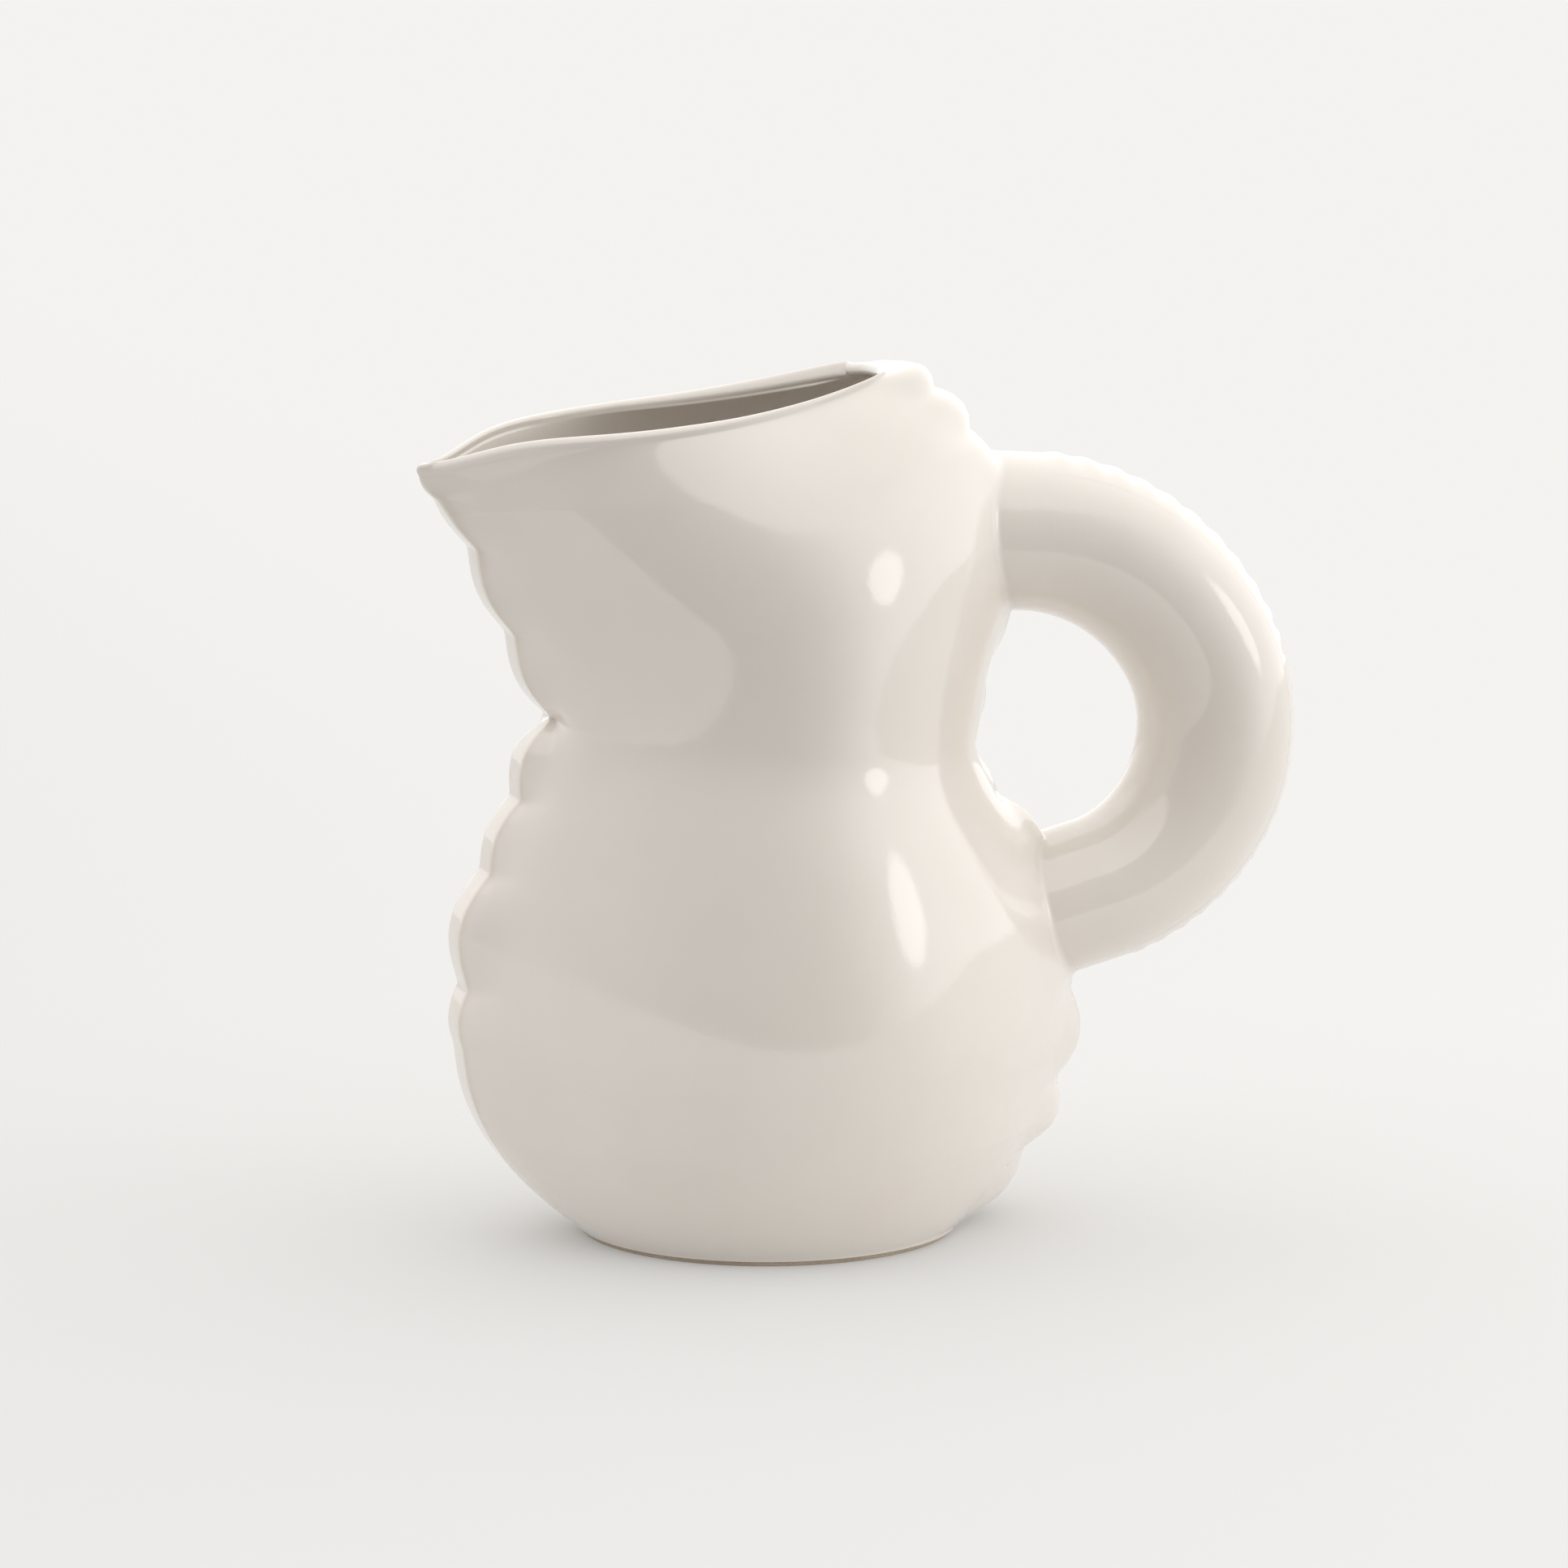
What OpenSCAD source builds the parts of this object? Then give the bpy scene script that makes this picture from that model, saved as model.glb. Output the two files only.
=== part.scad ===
// Glazed ceramic pitcher: a round bulb, a pinched waist and a flared bell with a pointed spout.
// Two bulging side walls meet a narrow band that runs down the front and the back.
// The band's outline is scalloped, and a hollow tube handle joins the bell to the bulb.
// X runs from the spout (-X) to the handle (+X), Z is up, and the origin is the centre of the base.

/* [Base] */
// Radius of the round base
foot_r = 44; // [38:0.5:50]
// Height of the bare clay foot under the glaze
foot_h = 1.2; // [0.8:0.1:3]
// How far the foot stands in from the glazed edge
foot_inset = 0.8; // [0.4:0.1:2]
// Thickness of the floor inside
floor_t = 5; // [3.5:0.5:8]

/* [Bulb] */
// Height of the waist at the front
waist_front_z = 119.5; // [95:0.5:140]
// How much lower the waist is at the back than at the front
waist_drop = 8.3; // [0:0.1:12]
// Height of the widest part of the bulb
belly_z = 50; // [40:0.5:60]
// Reach of the belly to the front
belly_front = 73; // [62:0.5:85]
// Reach of the belly to the back
belly_back = 73; // [62:0.5:85]
// Half of the belly's width from side to side
belly_side = 61; // [52:0.5:72]

/* [Waist] */
// Reach of the waist to the front
waist_front = 51; // [44:0.5:56]
// Reach of the waist to the back
waist_back = 45.8; // [40:0.1:52]
// Half of the waist's width from side to side
waist_side = 45; // [38:0.5:50]
// How softly the crease of the waist is rounded in the middle of the side walls
waist_round = 11; // [2:0.5:16]

/* [Bell] */
// Height of the rim above the spout
spout_z = 180; // [150:0.5:210]
// Reach of the spout's tip to the front
spout_reach = 81; // [70:0.5:97]
// Height of the rim at the back
rim_back_z = 197.5; // [175:0.5:230]
// Reach of the mouth to the back
rim_back = 27; // [20:0.5:36]
// Half of the mouth's width from side to side
mouth_side = 34; // [30:0.5:46]
// How far the rim rises behind the spout and dips before the back
rim_wave = 0.6; // [0:0.1:4]
// How far the rim sags halfway between the spout and the back
rim_sag = 2.7; // [0:0.1:5]
// How far the rim dips at the very tip of the spout
spout_dip = 4.6; // [0:0.1:6]
// How tightly the beak of the spout is pinched
beak_pinch = 0.8; // [0:0.1:3]
// Height of the shoulder, where the bell reaches furthest back
shoulder_z = 151; // [140:0.5:165]
// Reach of the shoulder to the back
shoulder_back = 57.3; // [50:0.1:66]
// How far the back rolls in above the shoulder: 0 is a parabola and 1 a quarter round
shoulder_roll = 0.98; // [0.5:0.01:0.99]
// Half of the shoulder's width from side to side
shoulder_side = 49.5; // [44:0.5:58]

/* [Clay] */
// Thickness of the walls
wall = 3.2; // [2.4:0.1:5]
// Width of the band down the front and the back
band_w = 10.5; // [6:0.5:16]
// How far a notch in the band dents the side walls
dent_reach = 12; // [6:0.5:20]

/* [Handle] */
// Radius of the handle's tube
tube_r = 18.2; // [14:0.2:20]
// Thickness of the handle's wall
tube_wall = 3.2; // [2.4:0.1:5]
// Radius of the handle's large upper bend, to the middle of the tube
upper_bend_r = 52.3; // [48:0.1:60]
// Radius of the handle's lower bend, to the middle of the tube
lower_bend_r = 39.8; // [36:0.1:46]
// Reach of the upper bend's centre to the back
bend_x = 57.8; // [54:0.1:62]
// Height of the upper bend's centre
bend_z = 106.2; // [100:0.1:112]
// Angle at which the upper bend runs into the lower one
bend_angle = 29; // [15:1:45]
// Width of the scalloped ridge along the handle's outside
ridge_w = 24; // [12:1:30]
// Height of the ridge's scallops
ridge_h = 1; // [0.4:0.1:1.5]
// Number of scallops along the ridge
ridge_count = 26; // [12:1:32]
// Width of the slip fillet where the handle meets the body
slip_w = 1.4; // [0.8:0.1:2.5]

/* [Hidden] */
$fn = 96;
bulb_rows = 38;
bell_rows = 30;
cols = 22;
waist_back_z = waist_front_z - waist_drop;
waist_z = (waist_front_z + waist_back_z) / 2;
bulb_height = waist_z - foot_h;
bell_height = (spout_z + rim_back_z) / 2 - waist_z;
glaze = [0.90, 0.88, 0.85];
clay = [0.80, 0.74, 0.66];

// Scallops from the bottom of a storey to its top: [share of its height, notch depth, puff above it]
bulb_front_scallops = [[0, 0, 1.1], [0.37, 0.1, 1.3], [0.49, 1, 3.5], [0.715, 0.9, 1.5],
                       [0.855, 1.4, 2.9]];
bulb_back_scallops = [[0, 0, 3.4], [0.145, -1.4, 3.4], [0.275, 0.1, 2.6], [0.465, 1, 2.2],
                      [0.715, 1, 3.6], [0.895, 1.4, 1]];
bell_front_scallops = [[0, 0, 2.3], [0.32, 0.4, 2.1], [0.645, 1.8, 0.6], [0.865, 0.2, 0.7]];
bell_back_scallops = [[0, 0, 1.8], [0.175, 2.4, 1.8], [0.495, 1, 2.7], [0.835, 0.6, 1.9],
                      [0.94, -0.4, 2.9]];

function lerp(a, b, t) = a + (b - a) * t;
function ease(t) = let(u = max(0, min(1, t))) u * u * (3 - 2 * u);

// Height of a curve of two parabolas that meet at their common peak; each end is [place, height]
function crown(z, low, peak, top) =
    let(end = z < peak[0] ? low : top)
    peak[1] - (peak[1] - end[1]) * pow((z - peak[0]) / (end[0] - peak[0]), 2);

// The same with an end that rolls in like an ellipse above the peak
function rolled_crown(z, low, peak, top, roll) = z < peak[0] ? crown(z, low, peak, top) :
    let(t = min(1, (z - peak[0]) / (top[0] - peak[0])))
    peak[1] - (peak[1] - top[1]) * (1 - sqrt(1 - pow(roll * t, 2))) / (1 - sqrt(1 - roll * roll));

// One scallop: 0 at both ends, 1 in the middle, with a slightly rounded notch
notch_round = 0.12;
function puff(t) = (norm([sin(180 * t), notch_round]) - notch_round) / (norm([1, notch_round]) - notch_round);

// How far the band stands out from its smooth line at a share v of a storey's height
function scallop(list, v, i = 0) =
    i < len(list) - 1 && v >= list[i + 1][0] ? scallop(list, v, i + 1) :
    let(next = i < len(list) - 1 ? list[i + 1] : [1, 0, 0],
        t = (v - list[i][0]) / (next[0] - list[i][0]))
    list[i][2] * puff(t) - lerp(list[i][1], next[1], t);

// Smooth line of the band as [x, z]: front and back of the bulb (storey 0) and of the bell (storey 1)
function front_line(storey, v) = storey == 0
    ? let(z = lerp(foot_h, waist_front_z, v))
      [-crown(z, [foot_h, foot_r], [belly_z, belly_front], [waist_front_z, waist_front]), z]
    : [-lerp(waist_front, spout_reach, v), lerp(waist_front_z, spout_z, v)];
function back_line(storey, v) = storey == 0
    ? let(z = lerp(foot_h, waist_back_z, v))
      [crown(z, [foot_h, foot_r], [belly_z, belly_back], [waist_back_z, waist_back]), z]
    : let(z = lerp(waist_back_z, rim_back_z, v))
      [rolled_crown(z, [waist_back_z, waist_back], [shoulder_z, shoulder_back], [rim_back_z, rim_back],
                    shoulder_roll), z];

// Outward direction at right angles to a smooth line; side is -1 at the front and 1 at the back
slope_step = 0.002;
function outward(before, after, side) = let(d = after - before) side * [d[1], -d[0]] / norm(d);

// Half of the body's width from side to side, widest at the belly and at the shoulder
shoulder_share = 0.42;
function half_width(storey, v) = storey == 0
    ? crown(lerp(foot_h, waist_z, v), [foot_h, foot_r], [belly_z, belly_side], [waist_z, waist_side])
    : crown(v, [0, waist_side], [shoulder_share, shoulder_side], [1, mouth_side]);

// The half section is a sine raised to a power: 1 gives a round end and 2 a pointed one.
// The base is round, the middle is pointed at both ends, and the rim is pointed only at the spout.
rim_round = 1.2;
function bulb_power(v) = 1 + ease(lerp(foot_h, waist_z, v) / 40);
function front_power(storey, v) = storey == 0 ? bulb_power(v) : 2 + beak_pinch * v * v;
function back_power(storey, v) = storey == 0 ? bulb_power(v) : 2 - rim_round * v * v;

// How far the rim's rise and dips lift a point of the bell
dip_share = 0.13;
function rim_lift(v, share) =
    v * v * (rim_wave * sin(360 * share) - rim_sag * 4 * share * (1 - share))
    - spout_dip * pow(v, 4) * exp(-pow(share / dip_share, 2));

// Half width of the bands, which narrow to almost nothing: late at the waist and early at the foot and rim.
// With a fade below 1 the narrowing at the waist is left out by that much, as the walls need it.
function band_half(storey, v, fade) = let(to_waist = storey == 0 ? 1 - v : v)
    max(0.5, band_w / 2 * min(1, 5 * (1 - to_waist), lerp(1, min(1, 4 * sqrt(to_waist)), fade)));

// One row round the body: storey, share of its height, both ends, the directions in which both ends are
// scalloped, and how far each scallop stands out
function row(storey, v) = [
    storey, v, front_line(storey, v), back_line(storey, v),
    outward(front_line(storey, v - slope_step), front_line(storey, v + slope_step), -1),
    outward(back_line(storey, v - slope_step), back_line(storey, v + slope_step), 1),
    scallop(storey == 0 ? bulb_front_scallops : bell_front_scallops, v),
    scallop(storey == 0 ? bulb_back_scallops : bell_back_scallops, v)];

// Share of a storey's height at a distance from the waist
function share_at(storey, gap) = max(0, min(1, storey == 0 ? 1 - gap / bulb_height : gap / bell_height));

// Place from front to back that a row's smooth lines give
function reach(storey, v, share) = lerp(front_line(storey, v)[0], back_line(storey, v)[0], share);

// Point of a row at angle a, 0 at the front and 180 at the back; side is -1 (left) or 1 (right).
// Away from the bands the waist's crease is rounded: a point takes its width from further up or down,
// and near the waist the bulb and the bell share the difference between them. A skin that is grown moves
// level in the bulb and, more and more, square to the bell's ends.
waist_blend = 14;
function skin(r, a, side, grow = 0) = let(
    storey = r[0],
    other = 1 - storey,
    s = sin(a),
    share = (1 - cos(a)) / 2,
    from_edge = s * s * norm([half_width(storey, r[1]), (r[3][0] - r[2][0]) / 2]),
    fade = exp(-pow(from_edge / dent_reach, 2)),
    round_off = waist_round * (1 - fade),
    gap = storey == 0 ? (1 - r[1]) * bulb_height : r[1] * bell_height,
    v = share_at(storey, norm([gap, round_off])),
    here = share_at(storey, round_off),
    there = share_at(other, round_off),
    meet = exp(-pow(gap / waist_blend, 2)) / 2,
    out = a <= 90 ? r[4] : r[5],
    level = [a <= 90 ? -1 : 1, 0],
    shift = (grow < 0 ? 0 : fade * (a <= 90 ? r[6] : r[7])) * out
            + grow * abs(cos(a)) * lerp(level, out, storey * r[1]),
    x = reach(storey, v, share) + meet * (reach(other, there, share) - reach(storey, here, share)),
    half_w = half_width(storey, v) + meet * (half_width(other, there) - half_width(storey, here)) + grow,
    band = band_half(storey, r[1], fade),
    power = lerp(front_power(storey, r[1]), back_power(storey, r[1]), share),
    z = lerp(r[2][1], r[3][1], share) + shift[1])
    [x + shift[0], side * (band + (half_w - band) * pow(s, power)),
     storey == 0 ? z : z + rim_lift(r[1], share)];

bulb = [for (i = [0:bulb_rows]) row(0, i / bulb_rows)];
bell = [for (i = [0:bell_rows]) row(1, i / bell_rows)];
floor_rows = ceil(floor_t / bulb_height * bulb_rows);

function line(r, side, grow) = [for (j = [0:cols]) skin(r, 180 * j / cols, side, grow)];
function ring(r, grow) = let(right = line(r, 1, grow))
    concat(line(r, -1, grow), [for (j = [cols:-1:0]) right[j]]);

// Solid between an outer and an inner grid of points with the same rows and columns
module panel(outer, inner, flip = false) {
    n = len(outer);
    m = len(outer[0]);
    points = concat([for (r = outer) each r], [for (r = inner) each r]);
    function at(layer, i, j) = layer * n * m + i * m + j;
    function tile(a, b, c, d) = [[a, b, c], [a, c, d]];
    faces = concat(
        [for (i = [0:n - 2], j = [0:m - 2]) each
            tile(at(0, i, j), at(0, i + 1, j), at(0, i + 1, j + 1), at(0, i, j + 1))],
        [for (i = [0:n - 2], j = [0:m - 2]) each
            tile(at(1, i, j), at(1, i, j + 1), at(1, i + 1, j + 1), at(1, i + 1, j))],
        [for (j = [0:m - 2]) each tile(at(0, 0, j), at(0, 0, j + 1), at(1, 0, j + 1), at(1, 0, j))],
        [for (j = [0:m - 2]) each
            tile(at(0, n - 1, j), at(1, n - 1, j), at(1, n - 1, j + 1), at(0, n - 1, j + 1))],
        [for (i = [0:n - 2]) each tile(at(0, i, 0), at(1, i, 0), at(1, i + 1, 0), at(0, i + 1, 0))],
        [for (i = [0:n - 2]) each
            tile(at(0, i, m - 1), at(0, i + 1, m - 1), at(1, i + 1, m - 1), at(1, i, m - 1))]);
    polyhedron(points, flip ? [for (f = faces) [f[2], f[1], f[0]]] : faces, convexity = 6);
}

// Solid filled from the first to the last of a list of closed rings
module stack(rings) {
    n = len(rings);
    m = len(rings[0]);
    faces = concat(
        [for (i = [0:n - 2], j = [0:m - 1]) let(k = (j + 1) % m) each
            [[i * m + j, (i + 1) * m + j, (i + 1) * m + k], [i * m + j, (i + 1) * m + k, i * m + k]]],
        [[for (j = [0:m - 1]) j]],
        [[for (j = [m - 1:-1:0]) (n - 1) * m + j]]);
    polyhedron([for (r = rings) each r], faces, convexity = 6);
}

// Solid swept along a closed loop of closed profiles
module hoop(profiles) {
    n = len(profiles);
    m = len(profiles[0]);
    polyhedron([for (p = profiles) each p],
        [for (i = [0:n - 1], j = [0:m - 1]) let(h = (i + 1) % n, k = (j + 1) % m) each
            [[i * m + j, i * m + k, h * m + k], [i * m + j, h * m + k, h * m + j]]], convexity = 6);
}

// Wall of one storey on one side
module side_wall(rows, side) {
    panel([for (r = rows) line(r, side, 0)], [for (r = rows) line(r, side, -wall)], side > 0);
}

// Strip of band at angle a: 0 at the front and 180 at the back
module band(rows, a) {
    panel([for (r = rows) [skin(r, a, -1), skin(r, a, 1)]],
          [for (r = rows) [skin(r, a, -1, -wall), skin(r, a, 1, -wall)]], a < 90);
}

// The handle's middle line: an upper bend and a lower bend, then straight roots at both ends.
// Bend angles count from the +X direction towards +Z.
upper_end = 86;
lower_end = -75;
lower_centre = [bend_x, bend_z] + (upper_bend_r - lower_bend_r) * [cos(bend_angle), sin(bend_angle)];

// Point at a bend angle, at distance r from the middle line, turned by turn from the outside
function tube_point(bend, turn, r) = let(
    upper = bend > bend_angle,
    centre = upper ? [bend_x, bend_z] : lower_centre,
    reach = (upper ? upper_bend_r : lower_bend_r) + r * cos(turn))
    [centre[0] + reach * cos(bend), r * sin(turn), centre[1] + reach * sin(bend)];

// Distance from point p along direction d to a triangle, or a large number where it misses
miss = 1000;
function hit(p, d, t) = let(
    e = t[1] - t[0],
    f = t[2] - t[0],
    q = cross(d, f),
    det = e * q)
    abs(det) < 1e-9 ? miss : let(
    s = p - t[0],
    u = s * q / det,
    c = cross(s, e),
    v = d * c / det)
    u < -1e-6 || v < -1e-6 || u + v > 1 + 1e-6 ? miss : f * c / det;
function reach_skin(p, d, facets) = p + d * min([for (t = facets) hit(p, d, t)]);

// Facets of the body's outer skin on the handle's side, both left and right, between two rows
back_cols = [round(cols * 0.6):cols - 1];
function skin_facets(rows, from, to) = [
    for (side = [-1, 1], i = [from:to], j = back_cols)
        let(a = 180 * j / cols, b = 180 * (j + 1) / cols,
            p = skin(rows[i], a, side), q = skin(rows[i + 1], a, side),
            r = skin(rows[i + 1], b, side), s = skin(rows[i], b, side))
        each [[p, q, r], [p, r, s]],
    for (i = [from:to])
        let(p = skin(rows[i], 180, -1), q = skin(rows[i + 1], 180, -1),
            r = skin(rows[i + 1], 180, 1), s = skin(rows[i], 180, 1))
        each [[p, q, r], [p, r, s]]];
upper_facets = skin_facets(bell, round(bell_rows * 0.15), round(bell_rows * 0.95) - 1);
lower_facets = skin_facets(bulb, round(bulb_rows * 0.3), bulb_rows - 1);

// Direction from a bend's end towards the body
upper_way = [-sin(upper_end), 0, cos(upper_end)];
lower_way = [sin(lower_end), 0, -cos(lower_end)];
root_turns = [for (k = [0:47]) 360 * k / 48];

module foot_disc() {
    color(clay) cylinder(r = foot_r - foot_inset, h = foot_h);
}

module floor_plate() {
    color(glaze) stack([for (i = [0:floor_rows]) ring(bulb[i], -wall)]);
}

module bulb_left_side() { color(glaze) side_wall(bulb, -1); }
module bulb_right_side() { color(glaze) side_wall(bulb, 1); }
module bulb_front_band() { color(glaze) band(bulb, 0); }
module bulb_back_band() { color(glaze) band(bulb, 180); }
module bell_left_side() { color(glaze) side_wall(bell, -1); }
module bell_right_side() { color(glaze) side_wall(bell, 1); }
module bell_front_band() { color(glaze) band(bell, 0); }
module bell_back_band() { color(glaze) band(bell, 180); }

// Half-round lip on the edge of the walls, all the way round the mouth, in line with the outer skin
lip_steps = 5;
module rim_lip() {
    below = ring(row(1, 1 - slope_step), 0);
    outer = ring(bell[bell_rows], 0);
    inner = ring(bell[bell_rows], -wall);
    color(glaze) hoop([for (j = [0:len(outer) - 1]) let(
        middle = (outer[j] + inner[j]) / 2,
        half = (outer[j] - inner[j]) / 2,
        along = (outer[j] - below[j]) / norm(outer[j] - below[j]))
        [for (k = [0:lip_steps]) let(a = 180 * k / lip_steps)
            middle + half * cos(a) + wall / 2 * sin(a) * along]]);
}

// Hollow tube of the handle through its two bends, which run a little way into each other
bend_overlap = 0.5;
module bend_arc(centre, r, from, to) {
    rotate([90, 0, 0]) translate(centre) rotate([0, 0, from]) rotate_extrude(angle = to - from)
        translate([r, 0]) difference() {
            circle(tube_r);
            circle(tube_r - tube_wall);
        }
}
module handle_tube() {
    color(glaze) union() {
        bend_arc([bend_x, bend_z], upper_bend_r, bend_angle - bend_overlap, upper_end);
        bend_arc(lower_centre, lower_bend_r, lower_end, bend_angle);
    }
}

// Straight root of the tube, scribed to the body's skin
module handle_root(end, way, facets) {
    hoop([for (turn = root_turns) let(
        out = tube_point(end, turn, tube_r),
        bore = tube_point(end, turn, tube_r - tube_wall))
        [out, reach_skin(out, way, facets), reach_skin(bore, way, facets), bore]]);
}
module upper_handle_root() { color(glaze) handle_root(upper_end, upper_way, upper_facets); }
module lower_handle_root() { color(glaze) handle_root(lower_end, lower_way, lower_facets); }

// Fillet of slip that lutes a root of the handle to the body
module slip_fillet(end, way, facets) {
    hoop([for (turn = root_turns) let(
        corner = reach_skin(tube_point(end, turn, tube_r), way, facets))
        [corner, corner - slip_w * way,
         reach_skin(tube_point(end, turn, tube_r + slip_w), way, facets)]]);
}
module upper_joint_slip() { color(glaze) slip_fillet(upper_end, upper_way, upper_facets); }
module lower_joint_slip() { color(glaze) slip_fillet(lower_end, lower_way, lower_facets); }

// Low scalloped ridge along the outside of the handle, lying on the tube
ridge_start = 84;
ridge_end = -72;
ridge_steps = 4;
ridge_cols = 4;
ridge_lift = 0.06;
ridge_low = 0.25;
function ridge_point(t, k, r) =
    tube_point(lerp(ridge_start, ridge_end, t), ridge_w / 2 * k / ridge_cols / tube_r * 180 / PI, r);
module handle_ridge() {
    rings = ridge_count * ridge_steps;
    color(glaze) stack([for (i = [0:rings]) let(
        t = i / rings,
        rise = ridge_h * lerp(ridge_low, 1, puff((i % ridge_steps) / ridge_steps)))
        concat([for (k = [-ridge_cols:ridge_cols]) ridge_point(t, k, tube_r + ridge_lift)],
               [for (k = [ridge_cols:-1:-ridge_cols]) ridge_point(t, k, tube_r + ridge_lift
                   + max(0.1, rise * pow(1 - pow(k / ridge_cols, 2), 2)))])]);
}

foot_disc();
floor_plate();  // floor
bulb_left_side();
bulb_right_side();
bulb_front_band();
bulb_back_band();
bell_left_side();
bell_right_side();
bell_front_band();
bell_back_band();
rim_lip();
handle_tube();
upper_handle_root();
lower_handle_root();
handle_ridge();
upper_joint_slip();
lower_joint_slip();
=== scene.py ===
"""Visual model of a glazed ceramic pitcher: a round bulb, a pinched waist and a flared bell with a spout.

All lengths are in metres. X runs from the spout (-X) to the handle (+X), Z is up, and the origin is the
centre of the base. The skin of the body is one formula of a storey (bulb or bell), a share of that storey's
height and an angle round the body, so every wall, band and lip meets its neighbours exactly.
"""

import logging
import math
from dataclasses import dataclass, field
from enum import Enum

import bpy
import numpy as np
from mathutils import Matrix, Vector


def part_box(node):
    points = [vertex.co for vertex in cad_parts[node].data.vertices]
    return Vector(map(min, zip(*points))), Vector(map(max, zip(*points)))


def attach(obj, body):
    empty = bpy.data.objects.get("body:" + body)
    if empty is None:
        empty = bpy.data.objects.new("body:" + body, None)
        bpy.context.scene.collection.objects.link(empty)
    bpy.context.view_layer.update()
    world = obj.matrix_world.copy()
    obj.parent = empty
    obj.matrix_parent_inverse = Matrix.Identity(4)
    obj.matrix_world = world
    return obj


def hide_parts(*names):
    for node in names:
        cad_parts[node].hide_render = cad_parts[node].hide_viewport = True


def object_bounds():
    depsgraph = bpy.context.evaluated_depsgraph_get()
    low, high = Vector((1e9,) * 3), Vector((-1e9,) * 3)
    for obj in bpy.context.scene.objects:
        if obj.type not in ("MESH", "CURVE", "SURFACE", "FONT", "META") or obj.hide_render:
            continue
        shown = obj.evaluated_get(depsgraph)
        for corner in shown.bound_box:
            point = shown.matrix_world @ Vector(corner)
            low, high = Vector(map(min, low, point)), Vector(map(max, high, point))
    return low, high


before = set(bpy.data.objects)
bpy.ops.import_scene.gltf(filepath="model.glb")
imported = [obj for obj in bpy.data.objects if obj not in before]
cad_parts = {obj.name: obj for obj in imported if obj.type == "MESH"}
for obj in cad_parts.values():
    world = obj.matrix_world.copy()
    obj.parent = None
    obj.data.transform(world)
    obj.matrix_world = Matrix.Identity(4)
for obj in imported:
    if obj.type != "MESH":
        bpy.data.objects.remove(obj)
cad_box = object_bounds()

LOG = logging.getLogger("pitcher")
MM = 0.001
TINY = 1e-6
WELD_STEPS_PER_METRE = 1e7
Array = np.ndarray


class Storey(Enum):
    """The two storeys of the body, below and above the waist, as the words in their pieces' names."""

    BULB = "bulb"
    BELL = "bell"


class End(Enum):
    """The two ends of a row round the body, where the bands run, as the sign of X."""

    FRONT = -1
    BACK = 1


def lerp(low: Array | float, high: Array | float, share: Array | float) -> Array | float:
    """Value that lies a share of the way from low to high."""
    return low + (high - low) * share


def ease(share: Array) -> Array:
    """Smooth step from 0 to 1: three squares less two cubes of the clamped share."""
    held = np.clip(share, 0.0, 1.0)
    return held * held * (3 - 2 * held)


def unit(vectors: Array) -> Array:
    """Vectors of length 1 in the same directions."""
    return vectors / np.maximum(np.linalg.norm(vectors, axis=-1, keepdims=True), 1e-12)


def grid_normals(points: Array, close_rows: bool = False, close_columns: bool = False) -> Array:
    """Normals of a grid, as the cross product of the differences along its columns and its rows.

    Args:
        points: Grid of points, rows by columns by 3.
        close_rows: Whether the last row runs on into the first.
        close_columns: Whether the last column runs on into the first.

    Returns:
        Unit normals, rows by columns by 3.
    """

    def slope(axis: int, closed: bool) -> Array:
        """Central difference along an axis, one-sided at an open end."""
        if closed:
            return np.roll(points, -1, axis) - np.roll(points, 1, axis)
        return np.gradient(points, axis=axis)

    return unit(np.cross(slope(1, close_columns), slope(0, close_rows)))


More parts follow.
